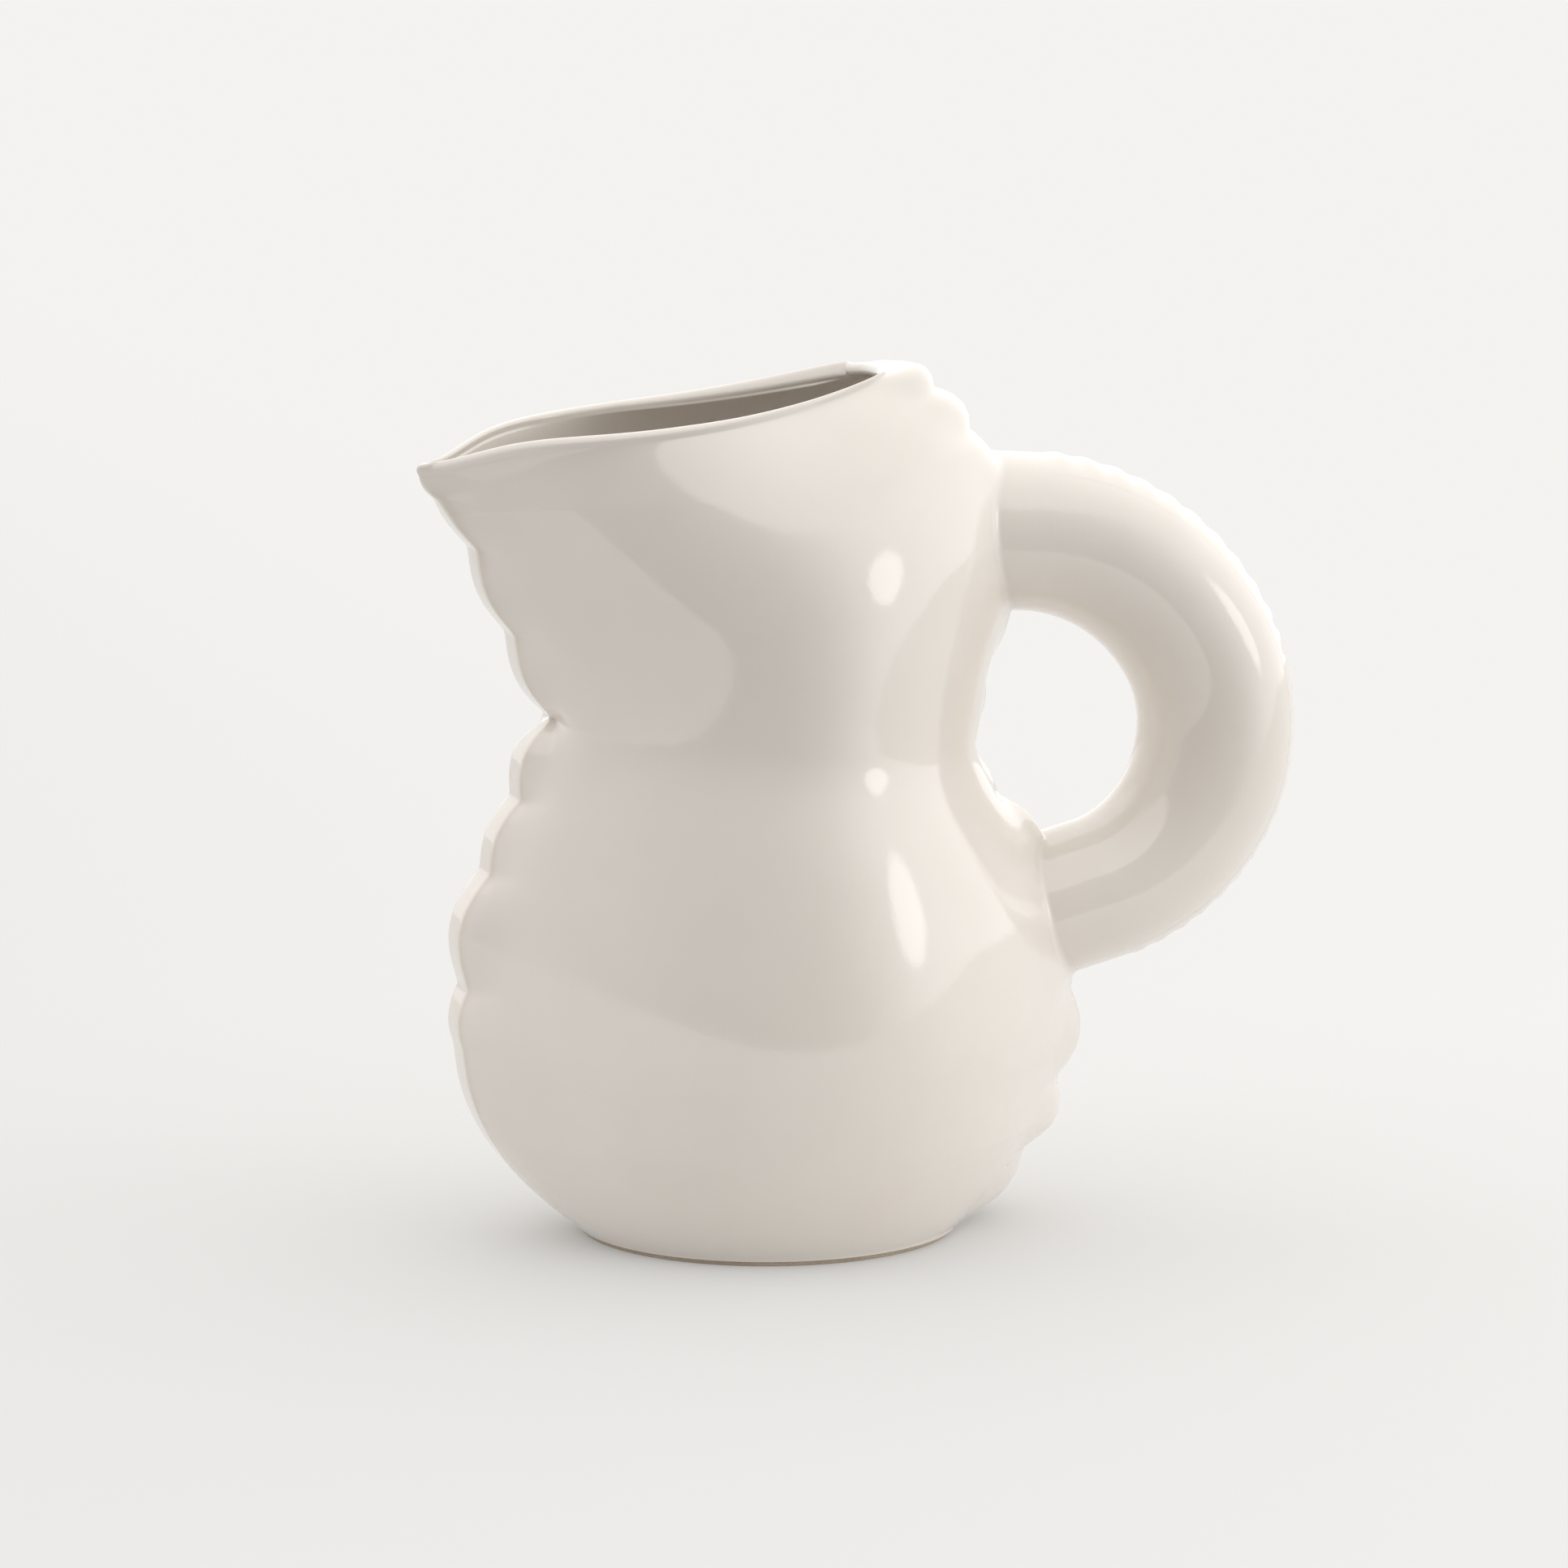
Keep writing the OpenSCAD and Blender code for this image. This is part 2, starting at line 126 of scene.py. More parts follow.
@dataclass
class Shell:
    """Closed mesh put together from grids of points whose shared edges lie in the same places."""

    flip: bool = False
    corners: list[Array] = field(default_factory=list)
    normals: list[Array] = field(default_factory=list)
    thin: list[Array] = field(default_factory=list)

    def face(self, points: Array, direction: Array, row: int = 0) -> None:
        """Has every face turned over if the first one of a row looks away from a direction.

        Args:
            points: Grid of points, rows by columns by 3.
            direction: Direction in which that face has to look.
            row: Row of the face that is looked at.
        """
        across = np.cross(points[row + 1, 1] - points[row, 0], points[row, 1] - points[row + 1, 0])
        self.flip = bool(np.dot(across, direction) < 0)

    def add(self, points: Array, normals: Array | None = None, thin: Array | None = None,
            close_rows: bool = False, close_columns: bool = False) -> None:
        """Adds a grid of four-cornered faces.

        Args:
            points: Grid of points, rows by columns by 3.
            normals: Normals at the points, or None for flat faces.
            thin: How thinly the glaze lies at each point, from 0 to 1, or None for 0.
            close_rows: Whether faces join the last row to the first.
            close_columns: Whether faces join the last column to the first.
        """
        thin = np.zeros(points.shape[:2]) if thin is None else thin

        def faces(grid: Array) -> Array:
            """The four corner values of every face of a grid.

            Args:
                grid: Values at the points, rows by columns by their own number of parts.

            Returns:
                Faces by 4 by that number.
            """
            if close_rows:
                grid = np.concatenate([grid, grid[:1]], 0)
            if close_columns:
                grid = np.concatenate([grid, grid[:, :1]], 1)
            four = [grid[:-1, :-1], grid[1:, :-1], grid[1:, 1:], grid[:-1, 1:]]
            return np.stack(four, 2).reshape(-1, 4, *grid.shape[2:])

        corners = faces(points)
        if normals is None:
            across = np.cross(corners[:, 2] - corners[:, 0], corners[:, 3] - corners[:, 1])
            shading = np.repeat(unit(across)[:, None], 4, 1) * (-1 if self.flip else 1)
        else:
            shading = faces(normals)
        self.corners.append(corners)
        self.normals.append(shading)
        self.thin.append(faces(thin[..., None])[..., 0])

    def build(self, name: str) -> bpy.types.Object:
        """Welds the grids into one mesh and gives it its shading normals.

        Points in the same place become one, and a face that loses a corner at a pole becomes a triangle.

        Args:
            name: Name of the piece.

        Returns:
            The new object, at the origin.
        """
        corners = np.concatenate(self.corners)
        shading = np.concatenate(self.normals)
        thin = np.concatenate(self.thin)
        if self.flip:
            corners, shading, thin = corners[:, ::-1], shading[:, ::-1], thin[:, ::-1]
        low, high = np.array(cad_box[0]), np.array(cad_box[1])
        held = np.clip(corners.reshape(-1, 3), low, high)
        spots = np.round(held * WELD_STEPS_PER_METRE).astype(np.int64)
        _, first, index = np.unique(spots, axis=0, return_index=True, return_inverse=True)
        faces = index.reshape(-1, 4)
        places = spots[first] * (1 / WELD_STEPS_PER_METRE)
        glaze = np.zeros(len(places))
        np.maximum.at(glaze, index.reshape(-1), thin.reshape(-1))
        kept = faces != np.roll(faces, -1, 1)
        whole = kept.sum(1) == 4
        three = kept.sum(1) == 3
        loops = np.concatenate([faces[whole].reshape(-1), faces[three][kept[three]]])
        lights = np.concatenate([shading[whole].reshape(-1, 3), shading[three][kept[three]]])
        sizes = np.concatenate([np.full(whole.sum(), 4), np.full(three.sum(), 3)])
        mesh = bpy.data.meshes.new(name)
        mesh.vertices.add(len(places))
        mesh.vertices.foreach_set("co", places.reshape(-1))
        mesh.loops.add(len(loops))
        mesh.loops.foreach_set("vertex_index", loops.astype(np.int32))
        mesh.polygons.add(len(sizes))
        mesh.polygons.foreach_set("loop_start", (np.cumsum(sizes) - sizes).astype(np.int32))
        mesh.polygons.foreach_set("loop_total", sizes.astype(np.int32))
        mesh.update(calc_edges=True)
        mesh.polygons.foreach_set("use_smooth", np.ones(len(sizes), bool))
        mesh.normals_split_custom_set(lights.tolist())
        layer = mesh.attributes.new("thin_glaze", "FLOAT", "POINT")
        layer.data.foreach_set("value", glaze.astype(np.float32))
        piece = bpy.data.objects.new(name, mesh)
        bpy.context.scene.collection.objects.link(piece)
        return piece


@dataclass(frozen=True)
class Skin:
    """A grid on the body's skin with its normals and the thinness of its glaze."""

    points: Array
    normals: Array
    thin: Array

    def part(self, columns: list[int]) -> "Skin":
        """The skin's chosen columns."""
        return Skin(self.points[:, columns], self.normals[:, columns], self.thin[:, columns])


@dataclass(frozen=True)
class BodyForm:
    """Formula of the body's skin, with the sizes that drive it."""

    foot_radius: float = 44 * MM
    foot_height: float = 1.2 * MM
    waist_front_z: float = 119.5 * MM
    waist_back_z: float = 111.2 * MM
    belly_z: float = 50 * MM
    belly_reach: float = 73 * MM
    belly_side: float = 61 * MM
    waist_front: float = 51 * MM
    waist_back: float = 45.8 * MM
    waist_side: float = 45 * MM
    waist_round: float = 11 * MM
    waist_blend: float = 14 * MM
    spout_z: float = 180 * MM
    spout_reach: float = 81 * MM
    spout_dip: float = 4.6 * MM
    dip_share: float = 0.13
    beak_pinch: float = 0.8
    rim_back_z: float = 197.5 * MM
    rim_back: float = 27 * MM
    rim_round: float = 1.2
    rim_wave: float = 0.6 * MM
    rim_sag: float = 2.7 * MM
    mouth_side: float = 34 * MM
    shoulder_z: float = 151 * MM
    shoulder_back: float = 57.3 * MM
    shoulder_roll: float = 0.98
    shoulder_side: float = 49.5 * MM
    shoulder_share: float = 0.42
    wall: float = 3.2 * MM
    band_half: float = 5.25 * MM
    band_end: float = 0.5 * MM
    waist_taper: float = 4
    end_taper: float = 5
    edge_round: float = 0.45 * MM
    dent_reach: float = 12 * MM
    thin_reach: float = 1.1 * MM
    notch_round: float = 0.12
    base_round_height: float = 40 * MM
    band_columns: int = 8
    wall_columns: int = 60
    wall_spread: float = 1.2
    slope_step: float = 0.002
    rounds: int = 8

    # Scallops from the bottom of a storey to its top: share of its height, notch and puff above it in mm
    scallops: dict[tuple[Storey, End], list[tuple]] = field(default_factory=lambda: {
        (Storey.BULB, End.FRONT): [(0, 0, 1.1), (0.37, 0.1, 1.3), (0.49, 1, 3.5), (0.715, 0.9, 1.5),
                                   (0.855, 1.4, 2.9)],
        (Storey.BULB, End.BACK): [(0, 0, 3.4), (0.145, -1.4, 3.4), (0.275, 0.1, 2.6), (0.465, 1, 2.2),
                                  (0.715, 1, 3.6), (0.895, 1.4, 1)],
        (Storey.BELL, End.FRONT): [(0, 0, 2.3), (0.32, 0.4, 2.1), (0.645, 1.8, 0.6), (0.865, 0.2, 0.7)],
        (Storey.BELL, End.BACK): [(0, 0, 1.8), (0.175, 2.4, 1.8), (0.495, 1, 2.7), (0.835, 0.6, 1.9),
                                  (0.94, -0.4, 2.9)],
    })

    @property
    def waist_z(self) -> float:
        """Height of the waist halfway from front to back."""
        return (self.waist_front_z + self.waist_back_z) / 2

    def height(self, storey: Storey) -> float:
        """Height of a storey."""
        if storey is Storey.BULB:
            return self.waist_z - self.foot_height
        return (self.spout_z + self.rim_back_z) / 2 - self.waist_z

    @staticmethod
    def crown(place: Array, low: tuple, peak: tuple, top: tuple, roll: float = 0.0) -> Array:
        """Curve that rises along a parabola to a peak and falls along another one.

        With a roll, the fall is part of an ellipse: one less the root of one less the square of the share.

        Args:
            place: Places at which the curve is wanted.
            low: Place and height of the low end.
            peak: Place and height of the peak.
            top: Place and height of the top end.
            roll: How much of a quarter round the fall is, below 1, or 0 for a parabola.

        Returns:
            Heights of the curve.
        """
        rising = place < peak[0]
        end = np.where(rising, low[1], top[1])
        share = (place - peak[0]) / (np.where(rising, low[0], top[0]) - peak[0])
        fall = share**2
        if roll:
            held = np.minimum(share, 1.0)
            rolled = (1 - np.sqrt(1 - (roll * held) ** 2)) / (1 - math.sqrt(1 - roll * roll))
            fall = np.where(rising, fall, rolled)
        return peak[1] - (peak[1] - end) * fall

    def puff(self, share: Array) -> Array:
        """One scallop: the half wave of a sine from 0 to 0, with a slightly rounded notch at its ends."""
        low, high = self.notch_round, math.hypot(1, self.notch_round)
        return (np.hypot(np.sin(math.pi * share), low) - low) / (high - low)

    def scallop(self, storey: Storey, end: End, share: Array) -> Array:
        """How far a band stands out from its smooth line, less the depth of its notches.

        Args:
            storey: Bulb or bell.
            end: Front or back.
            share: Share of the storey's height.

        Returns:
            Distances, below 0 in the notches.
        """
        stops = np.array([*self.scallops[storey, end], (1, 0, 0)], float)
        index = np.clip(np.searchsorted(stops[:, 0], share, side="right") - 1, 0, len(stops) - 2)
        along = (share - stops[index, 0]) / (stops[index + 1, 0] - stops[index, 0])
        depth = lerp(stops[index, 1], stops[index + 1, 1], along)
        return (stops[index, 2] * self.puff(along) - depth) * MM

    def line(self, storey: Storey, end: End, share: Array) -> tuple[Array, Array]:
        """Smooth line of a band.

        Args:
            storey: Bulb or bell.
            end: Front or back.
            share: Share of the storey's height.

        Returns:
            X and Z of the line's points.
        """
        front = end is End.FRONT
        waist = (self.waist_front_z, self.waist_front) if front else (self.waist_back_z, self.waist_back)
        if storey is Storey.BULB:
            z = lerp(self.foot_height, waist[0], share)
            foot = (self.foot_height, self.foot_radius)
            x = self.crown(z, foot, (self.belly_z, self.belly_reach), waist)
        elif front:
            z = lerp(waist[0], self.spout_z, share)
            x = lerp(self.waist_front, self.spout_reach, share)
        else:
            z = lerp(waist[0], self.rim_back_z, share)
            shoulder = (self.shoulder_z, self.shoulder_back)
            x = self.crown(z, waist, shoulder, (self.rim_back_z, self.rim_back), self.shoulder_roll)
        return x * end.value, z

    def outward(self, storey: Storey, end: End, share: Array) -> tuple[Array, Array]:
        """Direction at right angles to a band's smooth line, away from the body.

        Args:
            storey: Bulb or bell.
            end: Front or back.
            share: Share of the storey's height.

        Returns:
            X and Z of the directions, which have length 1.
        """
        x0, z0 = self.line(storey, end, share - self.slope_step)
        x1, z1 = self.line(storey, end, share + self.slope_step)
        length = np.hypot(x1 - x0, z1 - z0) * end.value
        return (z1 - z0) / length, -(x1 - x0) / length

    def half_width(self, storey: Storey, share: Array) -> Array:
        """Half of the body's width from side to side.

        Args:
            storey: Bulb or bell.
            share: Share of the storey's height.

        Returns:
            Half widths.
        """
        if storey is Storey.BULB:
            z = lerp(self.foot_height, self.waist_z, share)
            foot = (self.foot_height, self.foot_radius)
            return self.crown(z, foot, (self.belly_z, self.belly_side), (self.waist_z, self.waist_side))
        return self.crown(share, (0, self.waist_side), (self.shoulder_share, self.shoulder_side),
                          (1, self.mouth_side))

    def band(self, storey: Storey, share: Array, fade: Array | float = 1.0) -> Array:
        """Half width of the bands, which narrow to almost nothing at both ends of a storey.

        Towards the waist the width follows the root of the way to it, so that it narrows late, and towards
        the foot and the rim the way itself.

        Args:
            storey: Bulb or bell.
            share: Share of the storey's height.
            fade: How much of the narrowing at the waist counts, which grows less along the walls.

        Returns:
            Half widths.
        """
        to_waist = 1 - share if storey is Storey.BULB else share
        late = lerp(1, np.minimum(1, self.waist_taper * np.sqrt(to_waist)), fade)
        swell = np.minimum(np.minimum(1, self.end_taper * (1 - to_waist)), late)
        return np.maximum(self.band_end, self.band_half * swell)

    def power(self, storey: Storey, share: Array, across: Array) -> Array:
        """Power of the half section's sine: 1 gives a round end and 2 a pointed one.

        Args:
            storey: Bulb or bell.
            share: Share of the storey's height.
            across: Share of the way from front to back.

        Returns:
            Powers.
        """
        if storey is Storey.BULB:
            return 1 + ease(lerp(self.foot_height, self.waist_z, share) / self.base_round_height)
        return lerp(2 + self.beak_pinch * share**2, 2 - self.rim_round * share**2, across)

    def fade(self, storey: Storey, share: Array, angle: Array) -> Array:
        """How much of a band's scallops a point of the wall takes: a bell curve of its way from the band.

        Args:
            storey: Bulb or bell.
            share: Share of the storey's height.
            angle: Angle round the body, 0 at the front and pi at the back.

        Returns:
            Shares, 1 on the band and almost 0 halfway along the wall.
        """
        length = (self.line(storey, End.BACK, share)[0] - self.line(storey, End.FRONT, share)[0]) / 2
        way = np.sin(angle) ** 2 * np.hypot(self.half_width(storey, share), length)
        return np.exp(-((way / self.dent_reach) ** 2))

    def share_at(self, storey: Storey, gap: Array) -> Array:
        """Share of a storey's height at a distance from the waist."""
        share = gap / self.height(storey)
        return np.clip(1 - share if storey is Storey.BULB else share, 0, 1)

    def reach(self, storey: Storey, share: Array, across: Array) -> Array:
        """Place from front to back that the smooth lines of a row give."""
        return lerp(self.line(storey, End.FRONT, share)[0], self.line(storey, End.BACK, share)[0], across)

    def spread(self, storey: Storey, share: Array, angle: Array, grow: float) -> tuple[Array, Array]:
        """Place and half width of a point, with the waist's crease rounded away from the bands.

        A point takes its width from further up or down, at the hypotenuse of its distance to the waist and
        of the rounding, and near the waist the bulb and the bell share the difference between them.

        Args:
            storey: Bulb or bell.
            share: Share of the storey's height.
            angle: Angle round the body, 0 at the front and pi at the back.
            grow: How far the skin stands outside the outer skin.

        Returns:
            The place from front to back and the half width at each point.
        """
        other = Storey.BELL if storey is Storey.BULB else Storey.BULB
        across = (1 - np.cos(angle)) / 2
        round_off = self.waist_round * (1 - self.fade(storey, share, angle))
        gap = (1 - share if storey is Storey.BULB else share) * self.height(storey)
        level = self.share_at(storey, np.hypot(gap, round_off))
        here, there = self.share_at(storey, round_off), self.share_at(other, round_off)
        meet = np.exp(-((gap / self.waist_blend) ** 2)) / 2
        x = self.reach(storey, level, across)
        x = x + meet * (self.reach(other, there, across) - self.reach(storey, here, across))
        half = self.half_width(storey, level)
        half = half + meet * (self.half_width(other, there) - self.half_width(storey, here))
        return x, half + grow

    def angle_beside_band(self, storey: Storey, end: End, share: Array, beyond: Array, grow: float) -> Array:
        """Angle at which the wall stands a distance beyond the band's edge, by repeated substitution.

        Args:
            storey: Bulb or bell.
            end: Front or back.
            share: Share of the storey's height.
            beyond: Distances beyond the band's edge.
            grow: How far the skin stands outside the outer skin.

        Returns:
            Angles round the body, 0 at the front and pi at the back.
        """
        start = 0.0 if end is End.FRONT else math.pi
        band = self.band(storey, share)
        angle = np.full_like(beyond, start)
        for _ in range(self.rounds):
            half = self.spread(storey, share, angle, grow)[1]
            power = self.power(storey, share, (1 - np.cos(angle)) / 2)
            within = self.band(storey, share, self.fade(storey, share, angle))
            risen = np.maximum(0, beyond - within + band) / (half - within)
            turned = np.arcsin(np.clip(risen ** (1 / power), 0, 1))
            angle = turned if end is End.FRONT else math.pi - turned
        return angle

    def angles(self, storey: Storey, shares: Array, grow: float) -> Array:
        """Angles of the columns of one side, from the middle of the front band to the middle of the back.

        Across a band they follow equal steps of width, and along a wall they widen away from the band.

        Args:
            storey: Bulb or bell.
            shares: Shares of the storey's height, one per row.
            grow: How far the skin stands outside the outer skin.

        Returns:
            Angles, rows by columns.
        """
        share = shares[:, None]
        band = self.band(storey, share)
        step = np.linspace(-1, 0, self.band_columns + 1)[None] * band
        beyond = (step + np.hypot(step, self.edge_round)) / 2
        widening = np.linspace(0, 1, self.wall_columns + 1)[None, 1:] ** self.wall_spread
        halves = []
        for end in End:
            near = self.angle_beside_band(storey, end, share + 0 * beyond, beyond, grow)
            halves.append(np.concatenate([near, lerp(near[:, -1:], math.pi / 2, widening)], 1))
        return np.concatenate([halves[0], halves[1][:, -2::-1]], 1)

    def rim_lift(self, share: Array, across: Array) -> Array:
        """How far the rim's rise and dips lift a point of the bell."""
        wave = self.rim_wave * np.sin(2 * math.pi * across) - self.rim_sag * 4 * across * (1 - across)
        return share**2 * wave - self.spout_dip * share**4 * np.exp(-((across / self.dip_share) ** 2))

    def points(self, storey: Storey, shares: Array, grow: float = 0.0) -> tuple[Array, Array]:
        """Points of the left side's skin, and how thinly the glaze lies on them.

        The wall stands the half width less the band, times a power of the angle's sine, beyond the band;
        the band's edge is rounded because the width is that distance less a quarter of the rounding's
        square over it.

        Args:
            storey: Bulb or bell.
            shares: Shares of the storey's height, one per row.
            grow: How far the skin stands outside the outer skin.

        Returns:
            The points, rows by columns by 3, and the thinness at each, from 0 to 1.
        """
        share = shares[:, None]
        angle = self.angles(storey, shares, grow)
        across = (1 - np.cos(angle)) / 2
        x, half = self.spread(storey, share, angle, grow)
        band = self.band(storey, share)
        within = self.band(storey, share, self.fade(storey, share, angle))
        beyond = within - band + (half - within) * np.sin(angle) ** self.power(storey, share, across)
        y = band + beyond - self.edge_round**2 / (4 * np.maximum(beyond, TINY))
        y[:, [0, -1]] = 0
        z = lerp(self.line(storey, End.FRONT, share)[1], self.line(storey, End.BACK, share)[1], across)
        if storey is Storey.BELL:
            z = z + self.rim_lift(share, across)
        fade = self.fade(storey, share, angle)
        tilt = share if storey is Storey.BELL else 0 * share
        for end, half_turn in ((End.FRONT, angle <= math.pi / 2), (End.BACK, angle > math.pi / 2)):
            dx, dz = self.outward(storey, end, share)
            out = half_turn * fade * self.scallop(storey, end, share) * (grow >= 0)
            grown = half_turn * grow * np.abs(np.cos(angle))
            x = x + dx * out + lerp(end.value, dx, tilt) * grown
            z = z + dz * out + dz * tilt * grown
        sharp = np.exp(-(((beyond - self.edge_round / 2) / self.thin_reach) ** 2))
        return np.stack([x, -y, z], -1), sharp * np.minimum(1, band / self.band_half)

    def ring(self, storey: Storey, shares: Array, grow: float = 0.0) -> Skin:
        """Skin all the way round: the left side from front to back, then the right side back to the front.

        The last column repeats the first, and normals point away from the clay.

        Args:
            storey: Bulb or bell.
            shares: Shares of the storey's height, one per row.
            grow: How far the skin stands outside the outer skin.

        Returns:
            The skin.
        """
        left, thin = self.points(storey, shares, grow)
        right = (left * [1, -1, 1])[:, ::-1]
        closed = np.concatenate([left, right[:, 1:-1]], 1)
        normals = grid_normals(closed, close_columns=True) * (-1 if grow < 0 else 1)
        outward = np.sum(normals * (closed - [0, 0, self.waist_z]) * [1, 1, 0], -1).mean()
        if (outward < 0) != (grow < 0):
            normals = -normals
        repeat = [*range(closed.shape[1]), 0]
        around = np.concatenate([thin, thin[:, -2:0:-1]], 1)
        return Skin(closed[:, repeat], normals[:, repeat], around[:, repeat])


@dataclass(frozen=True)
class ShareSteps:
    """Rows of each storey, as shares of its height."""

    bulb_rows: int = 200
    bell_rows: int = 160
    rim_crowding: float = 1.4

    def of(self, storey: Storey) -> Array:
        """Shares of a storey's rows: even in the bulb, and closer together towards the bell's rim.

        Args:
            storey: Bulb or bell.

        Returns:
            Shares, from 0 to 1.
        """
        if storey is Storey.BULB:
            return np.linspace(0, 1, self.bulb_rows + 1)
        return 1 - (1 - np.linspace(0, 1, self.bell_rows + 1)) ** self.rim_crowding


class Signal:
    """A node's output that can be used in arithmetic; each operator adds a Math node."""

    def __init__(self, tree: bpy.types.NodeTree, socket: bpy.types.NodeSocket) -> None:
        """Wraps an output socket of a tree."""
        self.tree = tree
        self.socket = socket

    def math(self, operation: str, *values: "Signal | float") -> "Signal":
        """Math node of an operation on this signal and other values."""
        return math_node(self.tree, operation, self, *values)

    def __add__(self, other: "Signal | float") -> "Signal":
        """Sum."""
        return self.math("ADD", other)

    __radd__ = __add__

    def __mul__(self, other: "Signal | float") -> "Signal":
        """Product."""
        return self.math("MULTIPLY", other)

    __rmul__ = __mul__

    def __sub__(self, other: "Signal | float") -> "Signal":
        """Difference."""
        return self.math("SUBTRACT", other)

    def __rsub__(self, other: float) -> "Signal":
        """Difference from a number."""
        return math_node(self.tree, "SUBTRACT", other, self)

    def band(self, low: float, high: float) -> "Signal":
        """Smooth step from 0 at low to 1 at high."""
        return Recipe.add(self.tree, "ShaderNodeMapRange", {"interpolation_type": "SMOOTHSTEP"},
                          {"Value": self, "From Min": low, "From Max": high})


def math_node(tree: bpy.types.NodeTree, operation: str, *values: Signal | float) -> Signal:
    """Math node of an operation on signals and numbers."""
    return Recipe.add(tree, "ShaderNodeMath", {"operation": operation}, dict(enumerate(values)))


class Recipe:
    """Node tree of one material."""

    def __init__(self, name: str) -> None:
        """Starts an empty material.

        Args:
            name: Name of the material.
        """
        self.material = bpy.data.materials.new(name)
        self.material.use_nodes = True
        self.tree = self.material.node_tree
        self.tree.nodes.clear()

    @staticmethod
    def add(tree: bpy.types.NodeTree, kind: str, settings: dict, inputs: dict, out: str | int = 0) -> Signal:
        """Adds a node.

        Args:
            tree: Tree that takes the node.
            kind: Type of the node.
            settings: Its settings by name, set before its inputs.
            inputs: Values or signals by socket name or number.
            out: Name or number of the output that is wanted.

        Returns:
            That output.
        """
        node = tree.nodes.new(kind)
        for key, value in settings.items():
            setattr(node, key, value)
        for key, value in inputs.items():
            if isinstance(value, Signal):
                tree.links.new(value.socket, node.inputs[key])
            else:
                node.inputs[key].default_value = value
        return Signal(tree, node.outputs[out])

    def node(self, kind: str, settings: dict | None = None, inputs: dict | None = None,
             out: str | int = 0) -> Signal:
        """Adds a node to this material, as add does."""
        return self.add(self.tree, kind, settings or {}, inputs or {}, out)

    def place(self) -> Signal:
        """Object coordinates, which are the row's own metres."""
        return self.node("ShaderNodeTexCoord", out="Object")

    def noise(self, scale: float, detail: float = 3, roughness: float = 0.5) -> Signal:
        """Noise with a number of lumps per metre."""
        return self.node("ShaderNodeTexNoise", {}, {"Vector": self.place(), "Scale": scale, "Detail": detail,
                                                    "Roughness": roughness})

    def mix(self, share: Signal, low: Signal | tuple, high: tuple) -> Signal:
        """Colour that a share takes from low to high."""
        return self.node("ShaderNodeMix", {"data_type": "RGBA"}, {0: share, 6: low, 7: high}, out=2)

    def bump(self, height: Signal, strength: float, distance: float, under: Signal | None = None,
             invert: bool = False) -> Signal:
        """Normals of a surface with small heights on it.

        Args:
            height: Heights, from 0 to 1.
            strength: How much of the bump shows.
            distance: Height in metres that a height of 1 stands for.
            under: Normals of the bump that lies under this one, or None.
            invert: Whether the heights are depths.

        Returns:
            The normals.
        """
        inputs = {"Strength": strength, "Distance": distance, "Height": height}
        if under is not None:
            inputs["Normal"] = under
        return self.node("ShaderNodeBump", {"invert": invert}, inputs)

    def finish(self, inputs: dict) -> bpy.types.Material:
        """Joins a principled surface to the material's output.

        Args:
            inputs: Values or signals by the surface's socket names.

        Returns:
            The finished material.
        """
        surface = self.node("ShaderNodeBsdfPrincipled", {}, inputs)
        end = self.tree.nodes.new("ShaderNodeOutputMaterial")
        self.tree.links.new(surface.socket, end.inputs["Surface"])
        return self.material


